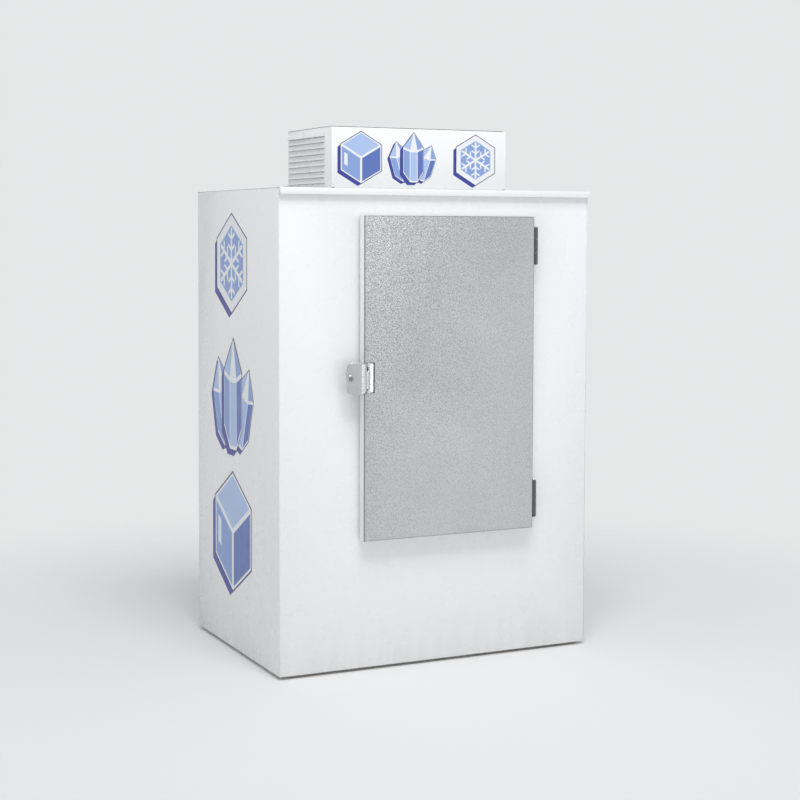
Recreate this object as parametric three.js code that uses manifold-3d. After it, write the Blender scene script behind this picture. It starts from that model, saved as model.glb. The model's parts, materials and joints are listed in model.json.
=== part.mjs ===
// An upright ice merchandiser: a foam-filled cabinet with one overlay door, a paddle latch,
// two edge-mounted hinges, and a refrigeration package that drops in through the roof.
// Millimetres. +X is the object's right, +Y its back, +Z up. The origin lies on the floor,
// under the middle of the cabinet.

import * as THREE from "three";
import { mergeVertices } from "three/addons/utils/BufferGeometryUtils.js";
import Module from "manifold-3d";

const wasm = await Module();
wasm.setup();

// ---------------------------------------------------------------- driving dimensions

const FIT = 0.3; // clearance between two pieces that touch
const RUN = 0.5; // clearance along an axle between pieces that turn past each other
const SKIN = 1.2; // outer sheet steel
const LINER = 1.0; // inner sheet steel and the small housings
const BEND = 1.5; // inside radius of a fold
const BEND_STEPS = 2; // facets in the round of a fold

const cabinet = { width: 1284, depth: 882, height: 1760, lift: 12, wall: 76, flange: 32, fold: 15 };
const lip = { reach: 9, drop: 17, rearDrop: 20 };
const base = { railWidth: 60, sheet: 2.5, inset: 22 };
const opening = { sideLeft: 344, sideRight: 300, sill: 509, head: 131, returnDepth: 12 };
const jamb = { wall: 3, besideGasket: 2, lipThickness: 1.5 };
const rib = { pitch: 118, top: 34, slope: 9, depth: 6 };
const rack = { gap: 8, slatWidth: 60, slatPitch: 88, slat: 8, runnerWidth: 24, runner: 20 };
const drain = { x: 210, y: 160, tube: 15, wall: 2, flange: 30 };

const door = { lap: 32, thickness: 45, standOff: 8, sheet: 1, returnDepth: 8, edge: 1.6 };
const trim = { wall: 2, backLip: 24 };
const gasket = { inset: 4, width: 14, foot: 1.8, neck: 2, neckWidth: 7 };
const doorPan = { besideGasket: 1, sheet: 1.5, shoulder: 56, depth: 18, slope: 10 };

const hinge = { height: 140, barrel: 9, pin: 3.5, leaf: 3, axisOut: 13, behindFace: 13 };
const hingeMore = { knuckle: 44, foot: 22, web: 6, cap: 5, capRadius: 7, corner: 8 };
const hingePlace = { fromTop: 40, fromBottom: 40 };

const latch = { fromBottom: 597, pinIn: 11, hub: 7, pin: 3, lug: 13 };
const latchPlate = { thickness: 3, width: 33, height: 106, corner: 4 };
const paddle = { width: 74, height: 116, corner: 22, wall: 3, skirt: 8, crest: 9, crestAt: 38, tip: -3 };
const finger = { besideRoller: 1.4, width: 6, low: -40, high: -16, fromWall: 13.9 };
const spring = { wire: 0.7, radius: 4.9, turns: 5, pitch: 2.1 };
const lock = { fromTip: 14, radius: 8, rim: 9.6, rimDepth: 1.4, boss: 12, face: 5, tongueAt: 30 };
const keyway = { width: 1.8, height: 6.4, depth: 6 };
const tongue = { width: 8, thickness: 3, length: 22 };
const strike = { plate: 3, besideLock: 12, right: 21, low: -48, high: 16 };
const strikeLug = { post: 4, lipGap: 2, lip: 3, half: 7 };
const roller = { fromPin: 30, radius: 6, pin: 2, ear: 2.5, standOff: 24 };

const unit = { fromLeft: 204, width: 715, depth: 418, height: 223, sheet: 1, fold: 12 };
const tray = { rim: 10, rearDeck: 50 };
const pad = { height: 3.7, width: 22, inset: 14 };
const louver = { pitch: 21.2, first: 35, last: 18, hood: 12, depth: 7, slot: 8, fromFront: 64, fromBack: 8 };
const rearSlot = { columns: 2, height: 9, pitch: 21, gap: 28, first: 34, last: 40, fromSide: 47.5 };
const plug = { fromUnitLeft: 140, width: 400, fromUnitFront: 191, depth: 190 };

const condenser = { x: 24, thickness: 46, front: 44, rear: 44, headroom: 29.7, fins: 18, groove: 17 };
const fanRing = { margin: 15, rise: 4.7, gap: 4, length: 30 };
const condenserFan = { hub: 20, hubLength: 24, blades: 5, shaft: 4 };
const condenserMotor = { radius: 36, length: 62, leg: 44, legSheet: 3 };
const compressor = { x: 420, y: 210, radius: 78, oval: 0.86, height: 158, foot: 116, footSheet: 3 };
const line = { discharge: 4, liquid: 3.2, suction: 6.5 };
const drier = { radius: 11, half: 42, taper: 10, x: 250, behindCoil: 18, z: 40 };
const controlBox = { fromRight: 25, width: 130, front: 292, fromBack: 18, height: 140, lid: 8 };
const gland = { fromRight: 60, height: 62, radius: 9, flange: 14, reach: 16 };

const evaporator = { width: 460, depth: 250, height: 171, sheet: 1.2, flange: 16, besideMouth: 13.5 };
const evaporatorCoil = { fromSide: 30, fromBack: 22, depth: 66, lift: 12, headroom: 21 };
const evaporatorFins = { fins: 18, groove: 25 };
const evaporatorFan = { gap: 5, hub: 17, hubLength: 20, blades: 5, behind: 10, shaft: 3 };
const evaporatorMotor = { radius: 27, length: 44, leg: 30, legSheet: 2.5 };
const guard = { wire: 1.6, rings: 3, inner: 22, spokes: 3, standOff: 5 };
const condensate = { radius: 8, fromWall: 24, fromRight: 30 };

// ---------------------------------------------------------------- derived places

const shell = {
  left: -cabinet.width / 2,
  right: cabinet.width / 2,
  front: -cabinet.depth / 2,
  back: cabinet.depth / 2,
  bottom: cabinet.lift,
  top: cabinet.lift + cabinet.height,
};
const room = grown(shell, -cabinet.wall);
const doorway = {
  left: shell.left + opening.sideLeft,
  right: shell.right - opening.sideRight,
  front: shell.front,
  back: room.front,
  bottom: shell.bottom + opening.sill,
  top: shell.top - opening.head,
};
const leafSize = {
  width: doorway.right - doorway.left + 2 * door.lap,
  height: doorway.top - doorway.bottom + 2 * door.lap,
};
const leafRear = shell.front - door.standOff;
const hingeForward = door.standOff + door.thickness - hinge.behindFace; // its axis, from the front sheet
const unitLeft = shell.left + unit.fromLeft;
const plugHole = {
  left: unitLeft + plug.fromUnitLeft,
  right: unitLeft + plug.fromUnitLeft + plug.width,
  front: shell.front + plug.fromUnitFront,
  back: shell.front + plug.fromUnitFront + plug.depth,
  bottom: room.top - 2 * LINER,
  top: shell.top + SKIN,
};
const deckTop = FIT + pad.height + FIT + unit.sheet; // the unit tray's upper face
const coverLow = unit.height - unit.sheet - BEND; // where the unit cover's folds end
const coilSize = {
  width: unit.depth - condenser.front - condenser.rear,
  height: unit.height - deckTop - condenser.headroom,
};
const fanCentre = {
  y: condenser.front + coilSize.width / 2,
  z: deckTop + coilSize.height / 2 + fanRing.rise,
};
const fanRadius = Math.min(coilSize.width, coilSize.height) / 2 - fanRing.margin;
const mouthRadius = evaporator.height / 2 - evaporator.besideMouth;

// ---------------------------------------------------------------- shape helpers

// A box moved outwards (or, with a negative amount, inwards) on all six sides.
function grown(b, by) {
  return {
    left: b.left - by,
    right: b.right + by,
    front: b.front - by,
    back: b.back + by,
    bottom: b.bottom - by,
    top: b.top + by,
  };
}

// The same, in X and Z only: a larger opening through the same wall.
function widened(b, by) {
  return { ...grown(b, by), front: b.front, back: b.back };
}

function solid(geometry) {
  geometry.deleteAttribute("normal");
  geometry.deleteAttribute("uv");
  const merged = mergeVertices(geometry, 1e-4);
  return new wasm.Manifold(
    new wasm.Mesh({
      numProp: 3,
      vertProperties: merged.attributes.position.array,
      triVerts: new Uint32Array(merged.index.array),
    }),
  );
}

function block(b) {
  const [x0, x1] = [Math.min(b.left, b.right), Math.max(b.left, b.right)];
  const geometry = new THREE.BoxGeometry(x1 - x0, b.back - b.front, b.top - b.bottom);
  geometry.translate((x0 + x1) / 2, (b.front + b.back) / 2, (b.bottom + b.top) / 2);
  return solid(geometry);
}

const X = new THREE.Vector3(1, 0, 0);
const Y = new THREE.Vector3(0, 1, 0);
const Z = new THREE.Vector3(0, 0, 1);
// The outline's own axes: an X extrusion is drawn in Y and Z, a Y one in X and Z, a Z one in X and Y.
const turnTo = {
  x: new THREE.Matrix4().makeBasis(Y, Z, X),
  y: new THREE.Matrix4().makeBasis(X, Z, Y.clone().negate()),
  z: new THREE.Matrix4(),
};

function extrude(shape, axis, from, to, curveSegments = 3) {
  const geometry = new THREE.ExtrudeGeometry(shape, {
    depth: to - from,
    bevelEnabled: false,
    curveSegments,
  });
  geometry.applyMatrix4(turnTo[axis]);
  const shift = { x: [from, 0, 0], y: [0, to, 0], z: [0, 0, from] }[axis];
  return solid(geometry.translate(...shift));
}

function rod(radius, axis, from, to, at = [0, 0], sides = 16) {
  const circle = new THREE.Shape().absarc(at[0], at[1], radius, 0, 2 * Math.PI);
  return extrude(circle, axis, from, to, sides / 2);
}

function roundedRect(u0, u1, v0, v1, radius) {
  const shape = new THREE.Shape();
  shape.absarc(u1 - radius, v0 + radius, radius, -Math.PI / 2, 0);
  shape.absarc(u1 - radius, v1 - radius, radius, 0, Math.PI / 2);
  shape.absarc(u0 + radius, v1 - radius, radius, Math.PI / 2, Math.PI);
  shape.absarc(u0 + radius, v0 + radius, radius, Math.PI, 1.5 * Math.PI);
  return shape;
}

// The edge-on outline of a sheet folded at each corner of a path. The path runs on one face,
// and the sheet's thickness lies to its left (side 1) or right (side -1). Without steps the
// corners are sharp.
function foldedSheet(corners, thickness, side = 1, steps = BEND_STEPS) {
  const points = corners.map(([u, v]) => new THREE.Vector2(u, v));
  const face = [];
  const back = [];
  points.forEach((p, i) => {
    const before = i > 0 ? p.clone().sub(points[i - 1]).normalize() : null;
    const after = i < points.length - 1 ? points[i + 1].clone().sub(p).normalize() : null;
    if (!before || !after) {
      const along = before || after;
      face.push(p);
      back.push(new THREE.Vector2(-along.y, along.x).multiplyScalar(side * thickness).add(p));
      return;
    }
    const turn = Math.atan2(before.cross(after), before.dot(after));
    if (steps === 0) {
      const mitre = new THREE.Vector2(-before.y - after.y, before.x + after.x).normalize();
      face.push(p);
      back.push(mitre.multiplyScalar((side * thickness) / Math.cos(turn / 2)).add(p));
      return;
    }
    const outside = turn * side > 0;
    const radius = BEND + (outside ? thickness : 0);
    const start = p.clone().addScaledVector(before, -radius * Math.tan(Math.abs(turn) / 2));
    const inward = new THREE.Vector2(-before.y, before.x).multiplyScalar(Math.sign(turn));
    const centre = start.clone().addScaledVector(inward, radius);
    for (let k = 0; k <= steps; k += 1) {
      const spoke = inward.clone().negate().rotateAround(new THREE.Vector2(), (turn * k) / steps);
      face.push(centre.clone().addScaledVector(spoke, radius));
      back.push(centre.clone().addScaledVector(spoke, radius + (outside ? -thickness : thickness)));
    }
  });
  return new THREE.Shape([...face, ...back.reverse()]);
}

// A body of revolution about Z, from a profile of [radius, height] pairs that starts and ends
// on the axis at the bottom and the top.
function turned(profile, sides = 24) {
  const points = profile.map(([r, h]) => new THREE.Vector2(r, h));
  return solid(new THREE.LatheGeometry(points, sides).rotateX(Math.PI / 2));
}

function tube(points, radius, steps, sides = 6) {
  const section = new THREE.Shape(
    Array.from({ length: sides }, (_, i) => {
      const angle = (2 * Math.PI * i) / sides;
      return new THREE.Vector2(radius * Math.cos(angle), radius * Math.sin(angle));
    }),
  );
  const path = new THREE.CatmullRomCurve3(
    points.map((p) => new THREE.Vector3(...p)),
    false,
    "centripetal",
  );
  return solid(new THREE.ExtrudeGeometry(section, { steps, extrudePath: path }));
}

// A closed body through rings of equally many points, capped at both ends. Each quad is split
// along its shorter diagonal, so the two faces of a thin twisted body stay parallel.
function loft(rings) {
  const count = rings[0].length;
  const index = [];
  for (let i = 0; i < rings.length - 1; i += 1) {
    for (let j = 0; j < count; j += 1) {
      const next = (j + 1) % count;
      const [a, b] = [i * count + j, i * count + next];
      const rising = rings[i][j].distanceTo(rings[i + 1][next]);
      const falling = rings[i][next].distanceTo(rings[i + 1][j]);
      if (rising < falling) {
        index.push(a, b + count, b, a, a + count, b + count);
      } else {
        index.push(a, a + count, b, b, a + count, b + count);
      }
    }
  }
  const last = (rings.length - 1) * count;
  for (let j = 1; j < count - 1; j += 1) {
    index.push(0, j, j + 1);
    index.push(last, last + j + 1, last + j);
  }
  const positions = rings.flat().flatMap((p) => [p.x, p.y, p.z]);
  const geometry = new THREE.BufferGeometry();
  geometry.setAttribute("position", new THREE.Float32BufferAttribute(positions, 3));
  return solid(geometry.setIndex(index));
}

function union(first, ...rest) {
  return rest.reduce((made, next) => made.add(next), first);
}

function without(first, ...rest) {
  return rest.reduce((made, next) => made.subtract(next), first);
}

// ---------------------------------------------------------------- finishes

const finishes = {
  whiteGloss: { color: 0xf5f6f6, roughness: 0.22, metalness: 0 },
  whiteLiner: { color: 0xeff1f2, roughness: 0.35, metalness: 0 },
  whitePlastic: { color: 0xf2f3f3, roughness: 0.4, metalness: 0 },
  stucco: { color: 0xb9bcbf, roughness: 0.35, metalness: 0.85 },
  chrome: { color: 0xc9cccf, roughness: 0.12, metalness: 1 },
  darkChrome: { color: 0x55585b, roughness: 0.25, metalness: 0.9 },
  galvanized: { color: 0xb2b7ba, roughness: 0.45, metalness: 0.8 },
  aluminium: { color: 0xc4c8ca, roughness: 0.4, metalness: 0.9 },
  copper: { color: 0xb8704a, roughness: 0.3, metalness: 1 },
  blackPaint: { color: 0x17181a, roughness: 0.4, metalness: 0 },
  rubber: { color: 0x2b2d2f, roughness: 0.85, metalness: 0 },
  gasketGrey: { color: 0xd9dbdc, roughness: 0.7, metalness: 0 },
  foam: { color: 0xe6d9a8, roughness: 0.9, metalness: 0 },
};

function part(name, made, finish) {
  const { vertProperties, triVerts } = made.getMesh();
  const geometry = new THREE.BufferGeometry();
  geometry.setAttribute("position", new THREE.BufferAttribute(vertProperties, 3));
  geometry.setIndex(new THREE.BufferAttribute(triVerts, 1));
  geometry.computeVertexNormals();
  const mesh = new THREE.Mesh(geometry, new THREE.MeshStandardMaterial(finishes[finish]));
  mesh.name = name;
  return mesh;
}

// ---------------------------------------------------------------- cabinet: outer shell

// A ladder of open channels, web down: two rails along X and three along Y.
function baseFrame() {
  const height = cabinet.lift - FIT;
  const channel = (axis, at, from, to) => {
    const [near, far] = [at - base.railWidth / 2, at + base.railWidth / 2];
    const corners = [[near, height], [near, 0], [far, 0], [far, height]];
    return extrude(foldedSheet(corners, base.sheet, 1, 0), axis, from, to);
  };
  const [halfX, halfY] = [shell.right - base.inset, shell.back - base.inset];
  const across = halfX - base.railWidth / 2;
  const along = halfY - base.railWidth / 2;
  return union(
    ...[-along, along].map((y) => channel("x", y, -halfX, halfX)),
    ...[-across, 0, across].map((x) => channel("y", x, -along, along)),
  );
}

// One side: a flat sheet with a flange turned in at the top and bottom, notched at its corners
// for the folded edges of the front and back sheets.
function sidePanel(hand) {
  const face = (hand * cabinet.width) / 2;
  const [high, low] = [shell.top - SKIN - FIT, shell.bottom];
  const inner = face - hand * cabinet.flange;
  const corners = [[inner, high], [face, high], [face, low], [inner, low]];
  const notch = cabinet.fold + FIT;
  const flanged = extrude(foldedSheet(corners, SKIN, -hand), "y", shell.front + notch, shell.back - notch);
  const sheet = { ...shell, left: face, right: face - hand * SKIN, bottom: low + BEND + SKIN };
  return union(flanged, block({ ...sheet, top: high - BEND - SKIN }));
}

// The front or back sheet, folded in along both upright edges and set between the sides.
function endSheet(face, inward) {
  const half = cabinet.width / 2 - SKIN - FIT;
  const turnedIn = face + inward * cabinet.fold;
  const corners = [[-half, turnedIn], [-half, face], [half, face], [half, turnedIn]];
  return extrude(foldedSheet(corners, SKIN, inward), "z", shell.bottom, shell.top - SKIN - BEND - FIT);
}

// The front sheet has the doorway cut in it, with its edge turned back into the wall.
function frontPanel() {
  const cut = widened(doorway, jamb.wall + FIT);
  const through = { ...cut, front: shell.front - SKIN };
  const turnedBack = { ...widened(cut, SKIN), back: shell.front + opening.returnDepth };
  return without(union(endSheet(shell.front, 1), block(turnedBack)), block(through));
}

// The roof sheet: a rolled drip lip along the front, closed at its ends, and a lap over the back.
function roofPanel() {
  const rear = shell.back + FIT + SKIN;
  const nose = shell.front - lip.reach;
  const under = shell.top - lip.drop;
  const corners = [
    [rear, shell.top - lip.rearDrop],
    [rear, shell.top],
    [nose, shell.top],
    [nose, under],
    [shell.front - FIT, under],
  ];
  const sheet = extrude(foldedSheet(corners, SKIN), "x", shell.left, shell.right);
  const tab = { front: nose + BEND, back: shell.front - FIT, bottom: under + BEND, top: shell.top - BEND };
  return without(
    union(
      sheet,
      block({ ...tab, left: shell.left, right: shell.left + SKIN }),
      block({ ...tab, left: shell.right - SKIN, right: shell.right }),
    ),
    block(grown(plugHole, FIT)),
  );
}

function bottomPanel() {
  const low = shell.bottom + SKIN + FIT;
  const notch = cabinet.fold + FIT;
  const side = SKIN + BEND + FIT;
  const sheet = block({
    left: shell.left + side,
    right: shell.right - side,
    front: shell.front + notch,
    back: shell.back - notch,
    bottom: low,
    top: low + SKIN,
  });
  return sheet.subtract(drainBore(low - SKIN, low + 2 * SKIN));
}

function drainBore(from, to) {
  return rod(drain.tube + FIT, "z", from, to, [drain.x, drain.y], 24);
}

// The foam between the skins: a block with the room, the doorway, the roof plug and the drain cut out.
function foamCore() {
  const body = {
    left: shell.left + 2 * (SKIN + FIT) + BEND,
    right: shell.right - 2 * (SKIN + FIT) - BEND,
    front: shell.front + SKIN + FIT,
    back: shell.back - SKIN - FIT,
    bottom: shell.bottom + 2 * (SKIN + FIT),
    top: shell.top - 2 * (SKIN + FIT),
  };
  const tunnel = { ...widened(doorway, jamb.wall + 2 * FIT + SKIN), back: room.front, front: shell.front };
  return without(
    block(body),
    block(grown(room, LINER + FIT)),
    block(tunnel),
    block(grown(plugHole, FIT)),
    drainBore(shell.bottom, room.bottom),
  );
}

// ---------------------------------------------------------------- cabinet: inside

// A wall of the room: a sheet with upright pressed ribs, drawn in plan on its inner face.
// place(along, inward) gives the plan point at a distance along the wall and into the room.
function ribbedWall(length, place, side) {
  const count = Math.floor((length - rib.pitch) / rib.pitch);
  const first = (length - (count - 1) * rib.pitch) / 2;
  const corners = [place(0, 0)];
  for (let i = 0; i < count; i += 1) {
    const middle = first + i * rib.pitch;
    corners.push(place(middle - rib.top / 2 - rib.slope, 0));
    corners.push(place(middle - rib.top / 2, rib.depth));
    corners.push(place(middle + rib.top / 2, rib.depth));
    corners.push(place(middle + rib.top / 2 + rib.slope, 0));
  }
  corners.push(place(length, 0));
  return extrude(foldedSheet(corners, LINER, side, 0), "z", room.bottom + FIT, room.top - FIT);
}

function linerSide(hand) {
  const face = hand > 0 ? room.right : room.left;
  const length = room.back - room.front - 2 * FIT;
  return ribbedWall(length, (along, inward) => [face - hand * inward, room.front + FIT + along], -hand);
}

function linerBack() {
  const length = room.right - room.left + 2 * LINER;
  return ribbedWall(length, (along, inward) => [room.left - LINER + along, room.back - inward], 1);
}

function linerFront() {
  const sheet = {
    left: room.left - LINER,
    right: room.right + LINER,
    front: room.front - LINER,
    back: room.front,
    bottom: room.bottom + FIT,
    top: room.top - FIT,
  };
  const through = grown(widened(doorway, jamb.wall + FIT), 0);
  return block(sheet).subtract(block({ ...through, back: room.front + LINER }));
}

function linerFlat(low) {
  const sheet = { ...grown(room, LINER), bottom: low, top: low + LINER };
  return block(sheet);
}

function linerCeiling() {
  return linerFlat(room.top).subtract(block(grown(plugHole, FIT)));
}

// The floor sheet, with the drain's hole.
function linerFloor() {
  return linerFlat(room.bottom - LINER).subtract(
    drainBore(room.bottom - 2 * LINER, room.bottom + LINER),
  );
}

// The plastic jamb that lines the doorway and breaks the path of cold to the front sheet.
function doorJamb() {
  const outer = widened(doorway, jamb.wall);
  const lipWidth = door.lap - gasket.inset - gasket.width - jamb.besideGasket - jamb.wall;
  const sleeve = { ...outer, front: shell.front - FIT, back: room.front };
  const frontLip = {
    ...widened(outer, lipWidth),
    front: shell.front - FIT - jamb.lipThickness,
    back: shell.front - FIT,
  };
  const clear = { ...doorway, front: frontLip.front - SKIN, back: room.front + SKIN };
  return without(union(block(sleeve), block(frontLip)), block(clear));
}

// A duckboard for the ice bags: slats along X notched over three runners.
function floorRack(hand) {
  const edge = room.right - rib.depth - rack.gap;
  const [near, far] = [rack.gap / 2, edge];
  const [left, right] = hand > 0 ? [near, far] : [-far, -near];
  const [front, back] = [room.front + rack.gap, room.back - rib.depth - rack.gap];
  const floor = room.bottom + FIT;
  const count = Math.floor((back - front - rack.slatWidth) / rack.slatPitch) + 1;
  const first = (front + back - (count - 1) * rack.slatPitch - rack.slatWidth) / 2;
  const slats = Array.from({ length: count }, (_, i) => {
    const y = first + i * rack.slatPitch;
    const bottom = floor + rack.runner;
    return block({ left, right, front: y, back: y + rack.slatWidth, bottom, top: bottom + rack.slat });
  });
  const runners = [left, (left + right - rack.runnerWidth) / 2, right - rack.runnerWidth].map((x) =>
    block({ left: x, right: x + rack.runnerWidth, front, back, bottom: floor, top: floor + rack.runner }),
  );
  return union(...runners, ...slats);
}

// The floor drain: a flanged tube, sunk so that its rim lies on the floor sheet.
function drainSpout() {
  const low = cabinet.lift / 2;
  const rim = room.bottom + FIT;
  const [r, flange, wall] = [drain.tube, drain.flange, drain.wall];
  const high = rim + wall;
  const outside = turned([[0, low], [r, low], [r, rim], [flange, rim], [flange - wall, high], [0, high]]);
  const bore = rod(r - wall, "z", low - wall, rim + 2 * wall, [0, 0], 24);
  return outside.subtract(bore).translate([drain.x, drain.y, 0]);
}

// ---------------------------------------------------------------- door, from its lower left rear corner

const leafBox = {
  left: 0,
  right: leafSize.width,
  front: -door.thickness,
  back: 0,
  bottom: 0,
  top: leafSize.height,
};

// The embossed face: a shallow tray with eased edges, open to the rear.
function doorSkin() {
  const { edge, sheet } = door;
  const { width, height } = leafSize;
  const outline = new THREE.Shape([
    new THREE.Vector2(0, 0),
    new THREE.Vector2(width, 0),
    new THREE.Vector2(width, height),
    new THREE.Vector2(0, height),
  ]);
  const geometry = new THREE.ExtrudeGeometry(outline, {
    depth: door.returnDepth,
    bevelThickness: edge,
    bevelSize: edge,
    bevelOffset: -edge,
    bevelSegments: 2,
  });
  geometry.applyMatrix4(turnTo.y).translate(0, -door.thickness + edge + door.returnDepth, 0);
  const rear = -door.thickness + door.returnDepth;
  const hollow = { ...widened(leafBox, -sheet), front: -door.thickness + sheet, back: rear + 2 * edge };
  const behind = { ...widened(leafBox, 1), front: rear, back: rear + 3 * edge };
  return without(solid(geometry), block(hollow), block(behind));
}

// The white edge trim: a mitred frame around the edge, turned in behind to carry the gasket.
function doorTrim() {
  const front = -door.thickness + door.returnDepth + FIT;
  const around = { ...leafBox, front };
  const inside = { ...widened(leafBox, -trim.wall), front: front - 1, back: -trim.wall };
  const window = { ...widened(leafBox, -trim.backLip), front: front - 1, back: trim.wall };
  return without(block(around), block(inside), block(window));
}

// The pressed pan inside the door: a flange and a raised shoulder that enters the doorway.
function doorPanShape(shrink) {
  const { shoulder, slope, depth } = doorPan;
  const inset = shoulder + shrink;
  const outline = new THREE.Shape([
    new THREE.Vector2(inset, inset),
    new THREE.Vector2(leafSize.width - inset, inset),
    new THREE.Vector2(leafSize.width - inset, leafSize.height - inset),
    new THREE.Vector2(inset, leafSize.height - inset),
  ]);
  const geometry = new THREE.ExtrudeGeometry(outline, {
    depth: depth - slope - shrink,
    bevelThickness: slope,
    bevelSize: slope,
    bevelOffset: -slope,
    bevelSegments: 2,
  });
  geometry.applyMatrix4(turnTo.y).translate(0, depth - slope - shrink, 0);
  return solid(geometry);
}

function doorInnerPan() {
  const { sheet } = doorPan;
  const inset = gasket.inset + gasket.width + doorPan.besideGasket;
  const flange = { ...widened(leafBox, -inset), front: FIT, back: FIT + sheet };
  const raised = doorPanShape(0);
  const forward = { ...widened(leafBox, 1), front: -door.thickness, back: FIT };
  return without(union(block(flange), raised), doorPanShape(sheet), block(forward));
}

function doorFoam() {
  const inside = grown(leafBox, -(trim.wall + FIT));
  const body = { ...inside, front: -door.thickness + door.sheet + FIT };
  const raised = doorPanShape(doorPan.sheet + FIT);
  const front = { ...widened(leafBox, 1), front: -2 * door.thickness, back: body.back - 1 };
  return union(block(body), without(raised, block(front)));
}

// The magnetic gasket: foot, bellows neck and magnet bar, as one mitred ring.
function doorGasket() {
  const depth = door.standOff - 2 * FIT;
  const ring = (inset, width, from, to) => {
    const outer = { ...widened(leafBox, -inset), front: from, back: to };
    const inner = { ...widened(leafBox, -inset - width), front: from - 1, back: to + 1 };
    return block(outer).subtract(block(inner));
  };
  const { inset, width, foot, neck, neckWidth } = gasket;
  const slim = inset + (width - neckWidth) / 2;
  return union(
    ring(inset, width, FIT, FIT + foot),
    ring(slim, neckWidth, FIT + foot - 0.1, FIT + foot + neck + 0.1),
    ring(inset, width, FIT + foot + neck, FIT + depth),
  );
}

// ---------------------------------------------------------------- hinge, from the foot of its axis

const knuckleMiddle = { low: hingeMore.knuckle + RUN, high: hinge.height - hingeMore.knuckle - RUN };

function hingeFrameLeaf() {
  const { height, barrel } = hinge;
  const { knuckle, foot, web, corner } = hingeMore;
  const back = hingeForward - FIT;
  const plate = extrude(roundedRect(-foot / 2, foot / 2, 0, height, corner), "y", back - hinge.leaf, back);
  const arms = [[0, knuckle], [height - knuckle, height]].flatMap(([low, high]) => [
    rod(barrel, "z", low, high, [0, 0], 16),
    block({ left: -web / 2, right: web / 2, front: 0, back, bottom: low, top: high }),
  ]);
  return union(plate, ...arms).subtract(rod(hinge.pin + FIT, "z", -1, height + 1, [0, 0], 12));
}

function hingeDoorLeaf() {
  const { height, barrel, leaf, axisOut } = hinge;
  const { web, corner } = hingeMore;
  const inner = -axisOut + FIT;
  const rear = hingeForward - door.standOff - doorPan.sheet * 2;
  const plate = extrude(roundedRect(-barrel, rear, 0, height, corner), "x", inner, inner + leaf);
  const { low: bottom, high: top } = knuckleMiddle;
  const neck = block({ left: inner + 1, right: 0, front: -web / 2, back: web / 2, bottom, top });
  const made = union(plate, neck, rod(barrel, "z", bottom, top, [0, 0], 16));
  return made.subtract(rod(hinge.pin + FIT, "z", bottom - 1, top + 1, [0, 0], 16));
}

// The pin with a domed cap at each end.
function hingePin() {
  const { pin, height } = hinge;
  const { cap, capRadius } = hingeMore;
  const dome = (z, up) => [
    [capRadius, z],
    [capRadius, z + (up * cap) / 2],
    [capRadius * 0.6, z + up * cap * 0.9],
    [0, z + up * cap],
  ];
  const below = dome(-FIT, -1).reverse();
  return turned([...below, [pin, -FIT], [pin, height + FIT], ...dome(height + FIT, 1)], 14);
}

// ---------------------------------------------------------------- latch, from the middle of its pin

const faceBehindPin = FIT + latchPlate.thickness + 2 * FIT + latch.hub;
const lockFromPin = latch.pinIn + paddle.width - lock.fromTip;
const wallBehindPin = faceBehindPin + door.thickness + door.standOff;
const springLength = spring.turns * spring.pitch + 2 * spring.wire;
const hubTop = latchPlate.height / 2 - latch.lug - RUN - springLength - RUN;

function latchBase() {
  const half = latchPlate.height / 2;
  const left = -latch.pinIn + RUN;
  const front = faceBehindPin - FIT - latchPlate.thickness;
  const outline = roundedRect(left, left + latchPlate.width, -half, half, latchPlate.corner);
  const plate = extrude(outline, "y", front, faceBehindPin - FIT);
  const lugs = [[-half, -half + latch.lug], [half - latch.lug, half]].flatMap(([bottom, top]) => [
    rod(latch.hub, "z", bottom, top),
    block({ left: -latch.hub, right: latch.hub, front: 0, back: front + 1, bottom, top }),
  ]);
  return union(plate, ...lugs).subtract(rod(latch.pin + FIT, "z", -half - 1, half + 1, [0, 0], 16));
}

function latchPin() {
  const end = latchPlate.height / 2 + FIT;
  const head = latch.pin + 1.5;
  return turned([[0, -end - 2], [head, -end - 2], [head, -end], [latch.pin, -end], [latch.pin, end],
    [head, end], [head, end + 2], [0, end + 2]], 14);
}

// The torsion spring that brings the paddle back: one wire wound around the pin.
function latchSpring() {
  const steps = 9 * spring.turns;
  const start = hubTop + RUN + spring.wire;
  const points = Array.from({ length: steps + 1 }, (_, i) => {
    const angle = (2 * Math.PI * i * spring.turns) / steps;
    const height = start + (i / steps) * spring.turns * spring.pitch;
    return [spring.radius * Math.cos(angle), spring.radius * Math.sin(angle), height];
  });
  return tube(points, spring.wire, steps, 4);
}

// The paddle's outer face in plan: an arc from the pin, over the crest, to the tip.
function paddleArc(offset) {
  const near = new THREE.Vector2(0, -latch.hub + offset);
  const crest = new THREE.Vector2(-paddle.crestAt, -paddle.crest + offset);
  const tip = new THREE.Vector2(-latch.pinIn - paddle.width, -paddle.tip + offset);
  const bend = new THREE.SplineCurve([near, crest, tip]);
  return bend.getPoints(7);
}

// A pillow under that arc, cut to a rounded rectangle seen from the front.
function paddleSolid(offset, inset, depth) {
  const half = paddle.height / 2 - inset;
  const left = -latch.pinIn - paddle.width + inset;
  const arc = paddleArc(offset);
  const side = new THREE.Shape([
    ...arc,
    new THREE.Vector2(left - inset, depth),
    new THREE.Vector2(0, depth),
  ]);
  const outline = roundedRect(left, -latch.pinIn - inset, -half, half, paddle.corner - inset);
  return extrude(side, "z", -half, half).intersect(extrude(outline, "y", -2 * latch.hub, depth));
}

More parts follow.
